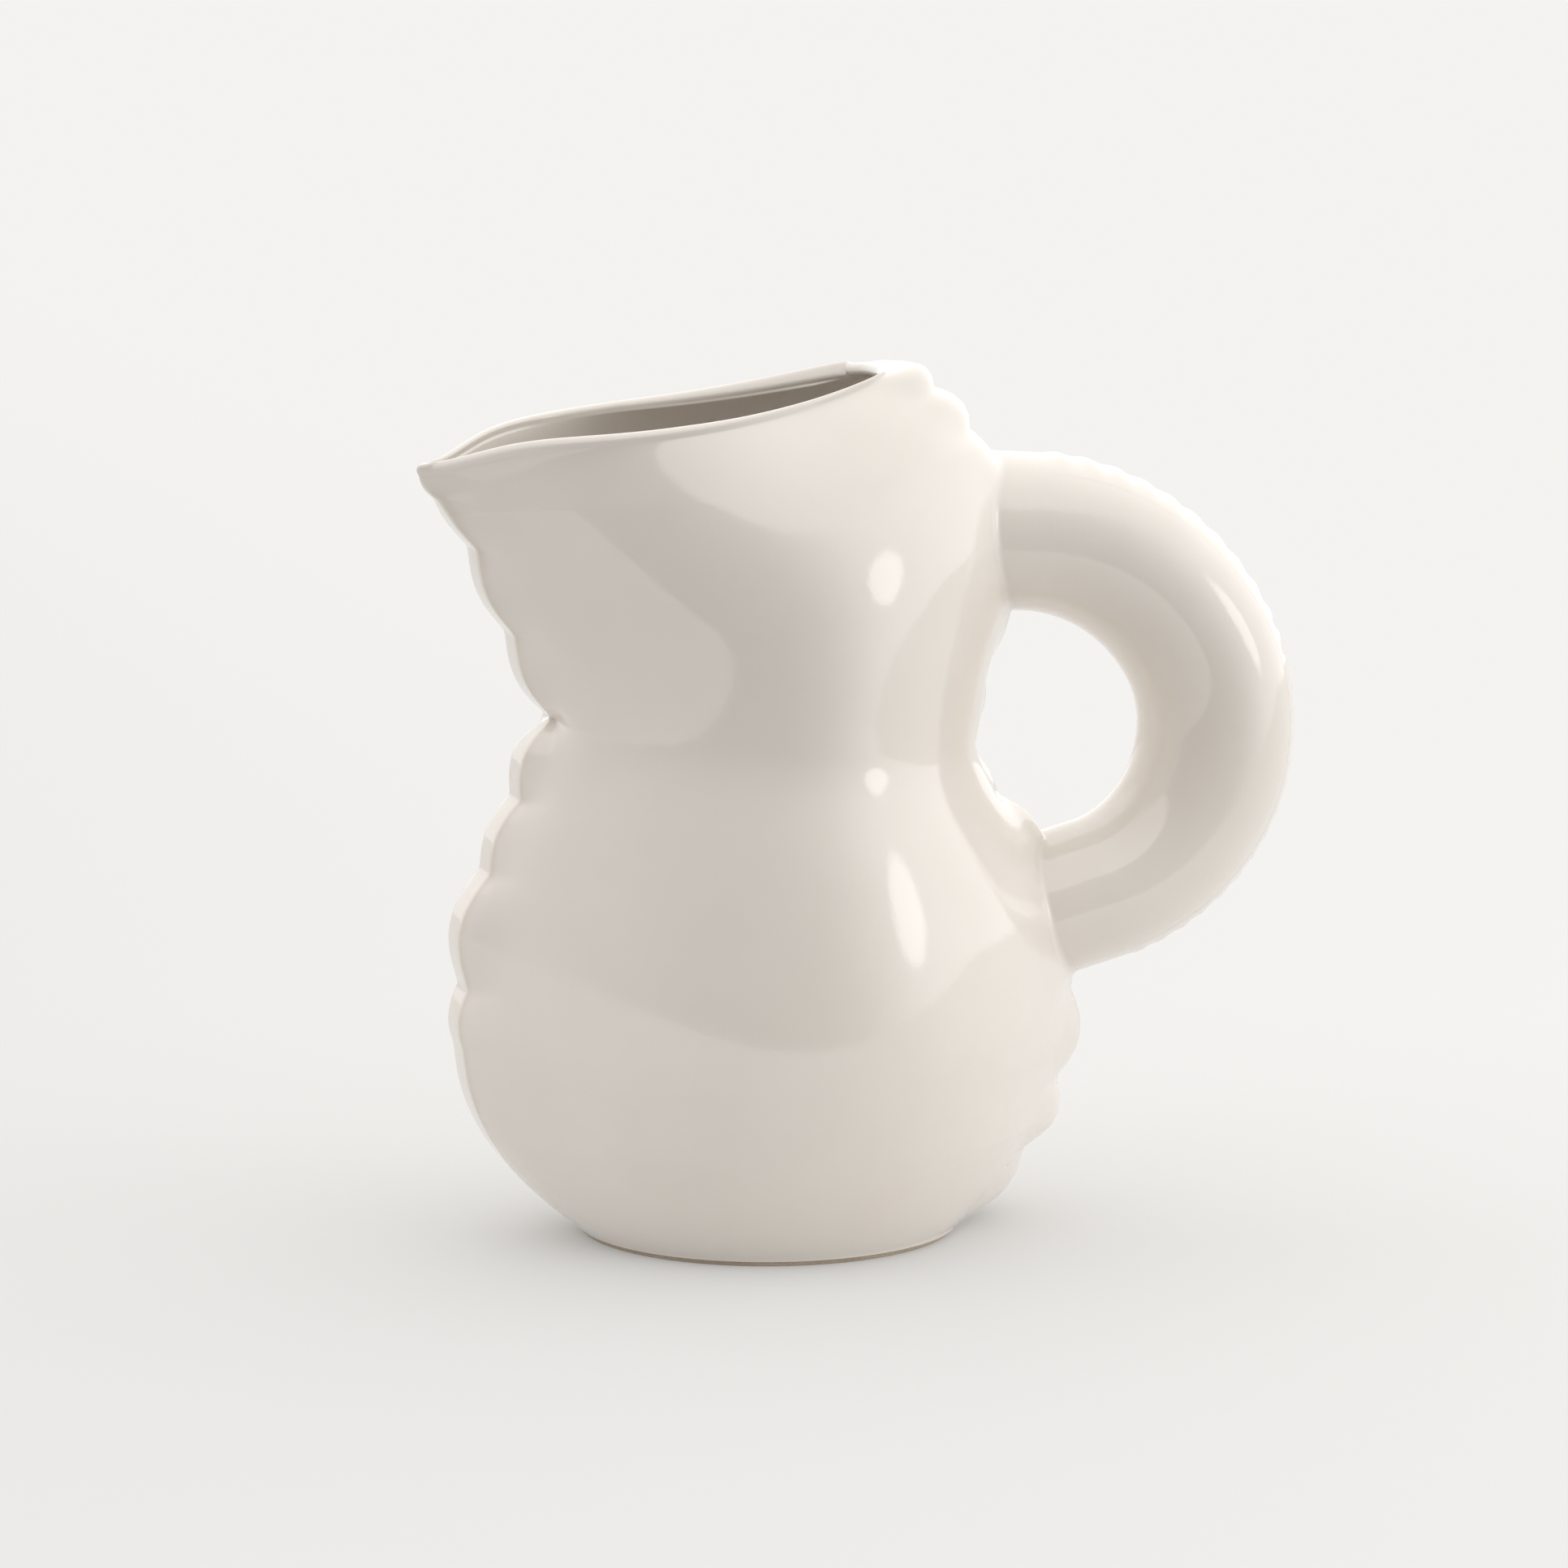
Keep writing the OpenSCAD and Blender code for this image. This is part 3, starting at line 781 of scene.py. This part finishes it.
@dataclass(frozen=True)
class Glaze:
    """Glossy warm-white glaze over pale clay, thinner and warmer on sharp edges."""

    slot: str = "glaze"
    white: tuple = (0.865, 0.81, 0.745, 1)
    shade: tuple = (0.845, 0.785, 0.72, 1)
    thin: tuple = (0.74, 0.655, 0.57, 1)
    speck: tuple = (0.36, 0.27, 0.19, 1)
    roughness: float = 0.05
    gloss_grain: float = 0.06
    coat: float = 0.5
    coat_roughness: float = 0.05
    refraction: float = 1.6
    clouds_per_metre: float = 28
    patches_per_metre: float = 224
    peel_per_metre: float = 150
    grain_per_metre: float = 900
    specks_per_metre: float = 55
    choice_per_metre: float = 38.5
    cloud_band: tuple = (0.35, 0.7)
    chosen_band: tuple = (0.56, 0.6)
    speck_band: tuple = (0.015, 0.035)
    speck_strength: float = 0.7
    worn_patches: float = 0.6
    worn_least: float = 0.25
    grain_bump: tuple = (0.10, 0.2 * MM)
    peel_bump: tuple = (0.12, 0.6 * MM)
    speck_bump: tuple = (0.6, 0.4 * MM)

    def material(self) -> bpy.types.Material:
        """Builds the glaze: clouds and specks of colour, worn edges, and a faint orange-peel surface.

        Returns:
            The material.
        """
        make = Recipe("warm_white_glaze")
        clouds = make.noise(self.clouds_per_metre, 4).band(*self.cloud_band)
        grain = make.noise(self.grain_per_metre, 2)
        peel = make.noise(self.peel_per_metre, 2)
        edge = make.node("ShaderNodeAttribute", {"attribute_name": "thin_glaze"}, {}, "Fac")
        patchy = make.noise(self.patches_per_metre, 2)
        thin = edge * (patchy * self.worn_patches + self.worn_least)
        cells = make.node("ShaderNodeTexVoronoi", {"feature": "F1"},
                          {"Vector": make.place(), "Scale": self.specks_per_metre}, "Distance")
        chosen = make.noise(self.choice_per_metre, 1).band(*self.chosen_band)
        specks = (1 - cells.band(*self.speck_band)) * chosen
        worn = make.mix(thin, make.mix(clouds, self.white, self.shade), self.thin)
        colour = make.mix(specks * self.speck_strength, worn, self.speck)
        fine = make.bump(grain, *self.grain_bump)
        broad = make.bump(peel, *self.peel_bump, fine)
        pits = make.bump(specks, *self.speck_bump, broad, invert=True)
        return make.finish({"Base Color": colour, "Roughness": grain * self.gloss_grain + self.roughness,
                            "Normal": pits, "Coat Weight": self.coat, "Coat Roughness": self.coat_roughness,
                            "IOR": self.refraction})


@dataclass(frozen=True)
class BareClay:
    """Unglazed fired clay under the foot."""

    slot: str = "bare_clay"
    pale: tuple = (0.62, 0.53, 0.43, 1)
    dark: tuple = (0.47, 0.38, 0.29, 1)
    roughness: float = 0.85
    rough_grain: float = 0.1
    grain_per_metre: float = 1600
    grains_per_stain: float = 30
    grit_share: float = 0.6
    stain_share: float = 0.4
    colour_band: tuple = (0.35, 0.7)
    grit_bump: tuple = (0.5, 0.3 * MM)

    def material(self) -> bpy.types.Material:
        """Builds the clay: two grains of colour and a gritty surface.

        Returns:
            The material.
        """
        make = Recipe("fired_clay")
        grit = make.noise(self.grain_per_metre, 5, 0.7)
        stain = make.noise(self.grain_per_metre / self.grains_per_stain, 3)
        share = (grit * self.grit_share + stain * self.stain_share).band(*self.colour_band)
        return make.finish({"Base Color": make.mix(share, self.pale, self.dark),
                            "Roughness": grit * self.rough_grain + self.roughness,
                            "Normal": make.bump(grit, *self.grit_bump)})


@dataclass
class Dresser:
    """Gives finished pieces their place in the frame, their finish and their name in the log."""

    finishes: dict[str, bpy.types.Material] = field(default_factory=dict)

    def dress(self, piece: bpy.types.Object, node: str, finish: Glaze | BareClay) -> None:
        """Puts a piece in a node's place with a finish.

        Args:
            piece: The new piece.
            node: Node of the frame that the piece stands for.
            finish: Finish of its surface.
        """
        if finish.slot not in self.finishes:
            self.finishes[finish.slot] = finish.material()
        piece.data.materials.append(self.finishes[finish.slot])
        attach(piece, "root")
        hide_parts(node)
        low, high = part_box(node)
        LOG.info("%s: %d faces, stands for a node from %s to %s mm", piece.name, len(piece.data.polygons),
                 [round(v / MM, 1) for v in low], [round(v / MM, 1) for v in high])


@dataclass
class Body:
    """Walls, bands, lip, floor and foot of the pitcher."""

    form: BodyForm
    dresser: Dresser
    steps: ShareSteps = field(default_factory=ShareSteps)
    glaze: Glaze = field(default_factory=Glaze)
    clay: BareClay = field(default_factory=BareClay)
    floor_thickness: float = 5 * MM
    floor_rows: int = 40
    under_rows: int = 12
    cove_height: float = 3 * MM
    cove_power: int = 14
    foot_inset: float = 0.8 * MM
    foot_recess: float = 0.4 * MM
    foot_chamfer: float = 0.3 * MM
    foot_ring: float = 8 * MM
    foot_slope: float = 9 * MM
    foot_turns: int = 192
    lip_steps: int = 14
    lip_blend: float = 0.6
    lip_thin: float = 0.2
    skins: dict[tuple[Storey, bool], Skin] = field(default_factory=dict)

    def work_out_skins(self) -> None:
        """Works out the outer and inner skin of both storeys, and evens their normals along the waist."""
        for storey in Storey:
            shares = self.steps.of(storey)
            for grow in (0.0, -self.form.wall):
                self.skins[storey, grow < 0] = self.form.ring(storey, shares, grow)
        for inner in (False, True):
            bulb, bell = self.skins[Storey.BULB, inner], self.skins[Storey.BELL, inner]
            both = unit(bulb.normals[-1] + bell.normals[0])
            left = self.form.angles(Storey.BULB, np.array([1.0]), -self.form.wall if inner else 0.0)[0]
            soft = 1 - self.form.fade(Storey.BULB, np.array([1.0]), left)
            around = np.concatenate([soft, soft[-2:0:-1], soft[:1]])[:, None]
            bulb.normals[-1] = unit(lerp(bulb.normals[-1], both, around))
            bell.normals[0] = unit(lerp(bell.normals[0], both, around))

    def panel(self, name: str, storey: Storey, columns: list[int]) -> None:
        """Closed panel between the outer and the inner skin.

        Args:
            name: Node that the panel stands for.
            storey: Bulb or bell.
            columns: Columns of the ring that the panel takes up, in their order round the body.
        """
        outer, inner = (self.skins[storey, inside].part(columns) for inside in (False, True))
        shell = Shell()
        shell.face(outer.points, outer.normals[0, 0])
        shell.add(outer.points, outer.normals, outer.thin)
        shell.add(inner.points[:, ::-1], inner.normals[:, ::-1])
        for edge in (0, -1):
            rows = np.stack([outer.points[edge], inner.points[edge]])
            sides = np.stack([outer.points[:, edge], inner.points[:, edge]], 1)
            shell.add(rows[::-1] if edge == 0 else rows)
            shell.add(sides[:, ::-1] if edge == 0 else sides)
        self.dresser.dress(shell.build(name + "_fired"), name, self.glaze)

    def panels(self) -> None:
        """Both walls and both bands of each storey; the ring closes in the middle of the front band."""
        band, side = self.form.band_columns, 2 * (self.form.band_columns + self.form.wall_columns)
        for storey in Storey:
            for word, columns in (("left_side", range(band, side - band + 1)),
                                  ("right_side", range(side + band, 2 * side - band + 1)),
                                  ("back_band", range(side - band, side + band + 1)),
                                  ("front_band", (*range(2 * side - band, 2 * side), *range(band + 1)))):
                self.panel(f"{storey.value}_{word}", storey, list(columns))

    def lip(self) -> None:
        """Half-round lip in line with the outer skin: half an ellipse from its edge to the inner edge."""
        outer, inner = self.skins[Storey.BELL, False], self.skins[Storey.BELL, True]
        top, low = outer.points[-1, :-1], inner.points[-1, :-1]
        turn = np.linspace(0, math.pi, self.lip_steps + 1)[:, None, None]
        middle, half = (top + low) / 2, (top - low) / 2
        rise = unit(top - outer.points[-2, :-1]) * self.form.wall / 2
        points = middle[None] + half[None] * np.cos(turn) + rise[None] * np.sin(turn)
        normals = grid_normals(points, close_columns=True)
        if normals[self.lip_steps // 2, 0, 2] < 0:
            normals = -normals
        for way, skin in ((turn, outer), (math.pi - turn, inner)):
            near = np.clip(1 - way / self.lip_blend, 0, 1)
            normals = unit(lerp(normals, skin.normals[-1, :-1][None], near**2))
        thin = np.repeat(np.sin(turn[:, :, 0]) ** 2, len(top), 1) * self.lip_thin
        shell = Shell()
        shell.face(points, normals[0, 0])
        shell.add(points, normals, thin, close_columns=True)
        shell.add(points[[-1, 0]], close_columns=True)
        self.dresser.dress(shell.build("rim_lip_fired"), "rim_lip", self.glaze)

    def floor(self) -> None:
        """Floor inside the bulb, with a small cove where it meets the walls.

        From the cove inwards its height over the flat part falls with a high power of the distance from the
        middle.
        """
        skin = self.skins[Storey.BULB, True].points[:, :-1]
        rows = int(np.searchsorted(self.steps.of(Storey.BULB) * self.form.height(Storey.BULB),
                                   self.floor_thickness + self.cove_height))
        wall = skin[: rows + 1]
        shares = np.linspace(1, 0, self.floor_rows)[:, None, None]
        rim = wall[-1]
        flat = self.floor_thickness + self.form.foot_height
        top = rim[None] * np.array([1, 1, 0]) * shares
        top[..., 2] = flat + (rim[None, :, 2] - flat) * shares[..., 0] ** self.cove_power
        under = wall[:1] * np.linspace(0, 1, self.under_rows)[:, None, None]
        under[..., 2] = wall[0, :, 2]
        shell = Shell()
        grid = np.concatenate([under, wall[1:], top[1:]])
        normals = grid_normals(grid, close_columns=True)
        middle = len(under) + len(wall) - 1 + len(top) // 2
        if normals[middle, 0, 2] < 0:
            normals = -normals
        shell.face(grid, np.array([0, 0, 1]), middle)
        normals[-1] = [0, 0, 1]
        normals[0] = [0, 0, -1]
        shell.add(grid, normals, close_columns=True)
        self.dresser.dress(shell.build("floor_fired"), "floor", self.glaze)

    def foot(self) -> None:
        """Bare foot: a turned profile with a shallow recess inside its resting ring."""
        radius = self.form.foot_radius - self.foot_inset
        high, recess, chamfer = self.form.foot_height, self.foot_recess, self.foot_chamfer
        profile = np.array([(0, recess), (radius - self.foot_slope, recess), (radius - self.foot_ring, 0),
                            (radius - chamfer, 0), (radius, chamfer), (radius, high), (0, high)])
        turn = np.linspace(0, 2 * math.pi, self.foot_turns, endpoint=False)
        spin = np.stack([np.cos(turn), np.sin(turn)], -1)
        grid = np.concatenate([profile[:, None, :1] * spin[None],
                               np.repeat(profile[:, None, 1:], len(turn), 1)], -1)
        shell = Shell()
        rim_row = len(profile) - 3
        shell.face(grid, grid[rim_row, 0] * [1, 1, 0], rim_row)
        shell.add(grid, close_columns=True)
        self.dresser.dress(shell.build("foot_disc_fired"), "foot_disc", self.clay)

    def build(self) -> None:
        """Builds and dresses every piece of the body."""
        self.work_out_skins()
        self.panels()
        self.lip()
        self.floor()
        self.foot()


@dataclass
class Handle:
    """Hollow tube handle with its roots, its joint fillets and the scalloped ridge on its outside.

    The middle line is an upper bend and a lower bend that run into each other, with a straight root at
    each end. Bend angles count from the +X direction towards +Z.
    """

    body: Body
    dresser: Dresser
    glaze: Glaze = field(default_factory=Glaze)
    tube: float = 18.2 * MM
    wall: float = 3.2 * MM
    upper_bend: float = 52.3 * MM
    lower_bend: float = 39.8 * MM
    centre_x: float = 57.8 * MM
    centre_z: float = 106.2 * MM
    join_angle: float = math.radians(29)
    upper_end: float = math.radians(86)
    lower_end: float = math.radians(-75)
    slip: float = 1.4 * MM
    ridge_width: float = 24 * MM
    ridge_height: float = 0.65 * MM
    ridge_lift: float = 0.02 * MM
    ridge_low: float = 0.25
    ridge_count: int = 26
    ridge_start: float = math.radians(84)
    ridge_end: float = math.radians(-72)
    ridge_taper: float = 40
    ridge_sink: float = 0.1 * MM
    puff_rows: int = 14
    ridge_columns: int = 25
    slimmer: float = 1.3 * MM
    slimmer_shift: float = 0.5 * MM
    slimmer_start: float = math.radians(-10)
    root_sink: float = 0.15 * MM
    slip_sink: float = 0.3 * MM
    turns: int = 144
    bend_steps: int = 170
    root_rows: int = 14
    slip_rows: int = 10
    search_gap: int = 3
    search_ends: tuple = (20, 4)

    def point(self, bend: Array, turn: Array, radius: Array | float) -> Array:
        """Point at a bend angle, at a radius from the middle line, turned by turn from the outside.

        Towards the lower root the tube grows slimmer and draws in a little.

        Args:
            bend: Bend angles.
            turn: Turns round the middle line, 0 on the outside of the bend.
            radius: Distances from the middle line.

        Returns:
            The points.
        """
        slim = ease((bend - self.slimmer_start) / (self.lower_end - self.slimmer_start))
        radius = radius - self.slimmer * slim
        upper = bend > self.join_angle
        gap = self.upper_bend - self.lower_bend
        centre_x = np.where(upper, self.centre_x, self.centre_x + gap * math.cos(self.join_angle))
        centre_z = np.where(upper, self.centre_z, self.centre_z + gap * math.sin(self.join_angle))
        reach = np.where(upper, self.upper_bend, self.lower_bend) - self.slimmer_shift * slim
        reach = reach + radius * np.cos(turn)
        return np.stack([centre_x + reach * np.cos(bend), radius * np.sin(turn) + 0 * bend,
                         centre_z + reach * np.sin(bend)], -1)

    def facing(self, bend: Array, turn: Array) -> Array:
        """Normal of the tube at a bend angle and a turn."""
        return np.stack([np.cos(turn) * np.cos(bend), np.sin(turn) + 0 * bend, np.cos(turn) * np.sin(bend)], -1)

    @property
    def around(self) -> Array:
        """Turns round the tube, without a repeat."""
        return np.linspace(0, 2 * math.pi, self.turns, endpoint=False)[None]

    def sleeve(self) -> None:
        """Tube along both bends, with its bore and its two ends."""
        bend = np.linspace(self.upper_end, self.lower_end, self.bend_steps + 1)[:, None]
        out = self.point(bend, self.around, self.tube)
        bore = self.point(bend, self.around, self.tube - self.wall)
        face = self.facing(bend, self.around)
        shell = Shell()
        shell.add(out, face, close_columns=True)
        shell.face(out, face[0, 0])
        shell.add(bore[::-1], -face[::-1], close_columns=True)
        shell.add(np.stack([bore[0], out[0]]), close_columns=True)
        shell.add(np.stack([out[-1], bore[-1]]), close_columns=True)
        self.dresser.dress(shell.build("handle_tube_fired"), "handle_tube", self.glaze)

    @staticmethod
    def way_to_skin(start: Array, way: Array, skin: Array) -> Array:
        """Distance along a direction from each start to the nearest triangle of a skin.

        The distance and the place inside the triangle are quotients of triple products, as Cramer's rule
        gives them, and a triangle that the line misses counts as a metre away.

        Args:
            start: Starting points, one per row.
            way: The direction that all of them take.
            skin: Grid of points of the skin.

        Returns:
            Distances, one per start.
        """
        a, b, c, d = skin[:-1, :-1], skin[1:, :-1], skin[1:, 1:], skin[:-1, 1:]
        three = np.concatenate([np.stack(corners, 2).reshape(-1, 3, 3) for corners in ([a, b, c], [a, c, d])])
        e, f = three[:, 1] - three[:, 0], three[:, 2] - three[:, 0]
        q = np.cross(way[None], f)
        det = np.sum(e * q, -1)
        det = np.where(np.abs(det) < 1e-15, 1e-15, det)
        s = start[:, None] - three[None, :, 0]
        u = np.sum(s * q[None], -1) / det
        cross = np.cross(s, e[None])
        v = cross @ way / det
        t = np.sum(cross * f[None], -1) / det
        miss = (u < -TINY) | (v < -TINY) | (u + v > 1 + TINY) | (t < 0)
        return np.min(np.where(miss, 1.0, t), 1)

    def skin_near(self, storey: Storey) -> Array:
        """Outer skin of the back half of a storey, thinned out beside the band to keep the search short.

        Args:
            storey: Bulb or bell.

        Returns:
            Grid of points, rows by columns by 3.
        """
        skin = self.body.skins[storey, False].points
        side, dense, gap = (skin.shape[1] - 1) // 2, self.body.form.band_columns + 1, self.search_gap
        half = side // 2
        columns = [*range(side - half, side - dense, gap), *range(side - dense, side + dense + 1),
                   *range(side + dense + gap, side + half, gap)]
        first, last = len(skin) // 4, len(skin)
        if storey is Storey.BELL:
            first, last = self.search_ends[0], last - self.search_ends[1]
        return skin[np.ix_(list(range(first, last, 2)), columns)]

    def root(self, word: str, bend: float, storey: Storey) -> None:
        """Straight root of the tube, cut to the body's skin, and the fillet of slip round it.

        Args:
            word: Upper or lower.
            bend: Bend angle at which the root leaves the bend.
            storey: Storey that the root runs into.
        """
        toward = 1 if bend < 0 else -1
        way = toward * np.array([math.sin(bend), 0, -math.cos(bend)])
        skin, bends = self.skin_near(storey), np.full((1, 1), bend)
        out, bore, wide = (self.point(bends, self.around, radius)[0]
                           for radius in (self.tube, self.tube - self.wall, self.tube + self.slip))
        far, near, rim = (self.way_to_skin(start, way, skin) for start in (out, bore, wide))
        face = self.facing(bends, self.around)[0]
        self.stub(f"{word}_handle_root", way, face, (out, bore), (far, near))
        self.joint(f"{word}_joint_slip", way, face, out + far[:, None] * way, wide + rim[:, None] * way)

    def stub(self, name: str, way: Array, face: Array, starts: tuple, lengths: tuple) -> None:
        """Straight tube that ends a little under the body's skin.

        Args:
            name: Node that the piece stands for.
            way: Direction of the tube, towards the body.
            face: Normals round the tube.
            starts: Points round the outside and round the bore, where the tube begins.
            lengths: Distances from those points to the body's skin.
        """
        steps = np.linspace(0, 1, self.root_rows)[:, None, None]
        sleeve, inside = (start[None] + steps * (length + self.root_sink)[None, :, None] * way
                          for start, length in zip(starts, lengths))
        faces = np.repeat(face[None], len(steps), 0)
        shell = Shell()
        shell.face(sleeve, face[0])
        shell.add(sleeve, faces, close_columns=True)
        shell.add(inside[::-1], -faces, close_columns=True)
        shell.add(np.stack([inside[0], sleeve[0]]), close_columns=True)
        shell.add(np.stack([sleeve[-1], inside[-1]]), close_columns=True)
        self.dresser.dress(shell.build(name + "_fired"), name, self.glaze)

    def joint(self, name: str, way: Array, face: Array, corner: Array, stop: Array) -> None:
        """Hollow fillet of slip round a root: parabolas from the root to the body, drawn to the corner.

        Args:
            name: Node that the piece stands for.
            way: Direction of the root, towards the body.
            face: Normals round the root.
            corner: Points where the root meets the body's skin.
            stop: Points where the fillet ends on the body's skin.
        """
        start = corner - self.slip * way
        t = np.linspace(0, 1, self.slip_rows)[:, None, None]
        curve = (1 - t) ** 2 * start + 2 * t * (1 - t) * corner + t**2 * stop
        bottom = corner + self.root_sink * way - self.slip_sink * face
        normals = grid_normals(curve, close_columns=True)
        if np.sum(normals[0] * face) < 0:
            normals = -normals
        shell = Shell()
        shell.face(curve, normals[0, 0])
        shell.add(curve, normals, close_columns=True)
        shell.add(np.stack([curve[-1], bottom, curve[0]]), close_columns=True)
        self.dresser.dress(shell.build(name + "_fired"), name, self.glaze)

    def ridge(self) -> None:
        """Low scalloped ridge: puffs along the outside, falling off across it as a squared hump."""
        rows = self.ridge_count * self.puff_rows
        along = np.linspace(0, 1, rows + 1)[:, None]
        bend = lerp(self.ridge_start, self.ridge_end, along)
        across = np.linspace(-1, 1, self.ridge_columns)[None]
        turn = across * self.ridge_width / 2 / self.tube
        fraction = (along * self.ridge_count) % 1
        taper = np.sqrt(np.clip(np.minimum(along, 1 - along) * self.ridge_taper, 0, 1))
        height = self.ridge_height * lerp(self.ridge_low, 1, (1 - np.cos(2 * math.pi * fraction)) / 2)
        rise = height * (1 - across**2) ** 2 * taper
        top = self.point(bend, turn, self.tube + self.ridge_lift + rise)
        under = self.point(bend, turn, self.tube - self.ridge_sink + 0 * rise)
        normals = grid_normals(top)
        face = self.facing(bend, turn)
        if np.sum(normals * face) < 0:
            normals = -normals
        shell = Shell()
        shell.face(top, normals[0, 0])
        shell.add(top, normals)
        shell.add(under[:, ::-1], -face[:, ::-1])
        for edge in (0, -1):
            ends = np.stack([top[edge], under[edge]])
            sides = np.stack([top[:, edge], under[:, edge]], 1)
            shell.add(ends[::-1] if edge == 0 else ends, np.stack([face[edge]] * 2))
            shell.add(sides[:, ::-1] if edge == 0 else sides, np.stack([face[:, edge]] * 2, 1))
        self.dresser.dress(shell.build("handle_ridge_fired"), "handle_ridge", self.glaze)

    def build(self) -> None:
        """Builds and dresses every piece of the handle."""
        self.sleeve()
        self.root("upper", self.upper_end, Storey.BELL)
        self.root("lower", self.lower_end, Storey.BULB)
        self.ridge()


@dataclass
class Studio:
    """Camera, table and the soft light of a room."""

    azimuth: float = math.radians(16)
    distance: float = 1.3
    height: float = 0.3001
    turn: float = math.radians(16.173)
    tilt: float = math.radians(8.65)
    lens: float = 132.5
    sensor: float = 36
    far_clip: float = 200
    floor_size: float = 60.0
    floor_front: float = 0.36
    # Painted light: the table is coloured darker on the left and lighter on the right, as light from the right
    # would make it.
    floor_painted_shade_left: tuple = (0.545, 0.54, 0.53, 1)
    floor_painted_light_right: tuple = (0.595, 0.59, 0.58, 1)
    floor_painted_light_blend: tuple = (-0.35, 0.35)
    # Painted light: the table glows faintly, which lightens the shadows cast on it.
    floor_painted_glow: float = 0.18
    gloom: float = 0.10
    left_wall: float = 0.85
    right_wall: float = 1.5
    ceiling: float = 1.33
    window: float = 2.0
    brighter_way: tuple = (1, 0.2, 0)
    onlooker_way: tuple = (-0.35, -0.94, -0.05)
    onlooker_edge: tuple = (0.05, 0.98)
    ceiling_edge: tuple = (0.50, 0.58)
    window_way: tuple = (0.85, -0.48, 0.18)
    window_edge: tuple = (0.984, 0.993)
    daylight: tuple = (1, 0.995, 0.985, 1)

    def camera(self) -> None:
        """Long lens in front of the left side, looking a little down."""
        data = bpy.data.cameras.new("camera")
        data.lens = self.lens
        data.sensor_width = self.sensor
        data.clip_end = self.far_clip
        camera = bpy.data.objects.new("camera", data)
        camera.location = (-self.distance * math.sin(self.azimuth), -self.distance * math.cos(self.azimuth),
                           self.height)
        camera.rotation_euler = (math.pi / 2 - self.tilt, 0, -self.turn)
        bpy.context.scene.collection.objects.link(camera)
        bpy.context.scene.camera = camera

    def floor(self) -> None:
        """Pale table that ends in front of the pitcher and runs far away on every other side, with painted
        light: darker on the left, lighter on the right, and a faint glow that lightens its shadows.
        """
        half = self.floor_size / 2
        mesh = bpy.data.meshes.new("table")
        front = -self.floor_front
        mesh.from_pydata([(-half, front, 0), (half, front, 0), (half, half, 0), (-half, half, 0)], [],
                         [(0, 1, 2, 3)])
        table = bpy.data.objects.new("table", mesh)
        make = Recipe("pale_table_painted_light")
        x = make.node("ShaderNodeSeparateXYZ", {}, {"Vector": make.place()}, "X")
        # Painted light: the table's colour grows lighter from left to right.
        colour = make.mix(x.band(*self.floor_painted_light_blend), self.floor_painted_shade_left, self.floor_painted_light_right)
        # Painted light: a faint glow lightens the shadows on the table.
        mesh.materials.append(make.finish({"Base Color": colour, "Roughness": 1.0, "Specular IOR Level": 0.0,
                                           "Emission Color": (1, 1, 1, 1),
                                           "Emission Strength": self.floor_painted_glow}))
        bpy.context.scene.collection.objects.link(table)

    def room(self) -> None:
        """Light of a room by direction, all of it soft.

        The ceiling is bright, the walls grow brighter from left to right, the side where an onlooker would
        stand is gloomy, and a tall window glows at the right.
        """
        world = bpy.data.worlds.new("room")
        world.use_nodes = True
        tree = world.node_tree
        tree.nodes.clear()

        def toward(way: tuple) -> Signal:
            """Cosine between the sky's direction and another one."""
            look = Recipe.add(tree, "ShaderNodeTexCoord", {}, {}, "Generated")
            return Recipe.add(tree, "ShaderNodeVectorMath", {"operation": "DOT_PRODUCT"},
                              {0: look, 1: tuple(Vector(way).normalized())}, "Value")

        walls = toward(self.brighter_way).band(-1, 1) * (self.right_wall - self.left_wall) + self.left_wall
        onlooker = toward(self.onlooker_way).band(*self.onlooker_edge)
        walls = walls + onlooker * (self.gloom - walls)
        overhead = toward((0, 0, 1)).band(*self.ceiling_edge)
        pane = toward(self.window_way).band(*self.window_edge)
        light = walls + overhead * (self.ceiling - walls) + pane * self.window
        shade = Recipe.add(tree, "ShaderNodeBackground", {}, {"Color": self.daylight, "Strength": light})
        end = tree.nodes.new("ShaderNodeOutputWorld")
        tree.links.new(shade.socket, end.inputs["Surface"])
        bpy.context.scene.world = world

    def build(self) -> None:
        """Sets up the camera, the floor and the light."""
        scene = bpy.context.scene
        scene.view_settings.view_transform = "Standard"
        self.camera()
        self.floor()
        self.room()


def main() -> None:
    """Builds the pitcher and the studio."""
    logging.basicConfig(level=logging.INFO, format="%(name)s: %(message)s")
    Studio().build()
    dresser = Dresser()
    body = Body(BodyForm(), dresser)
    body.build()
    Handle(body, dresser).build()


if __name__ == "__main__":
    main()
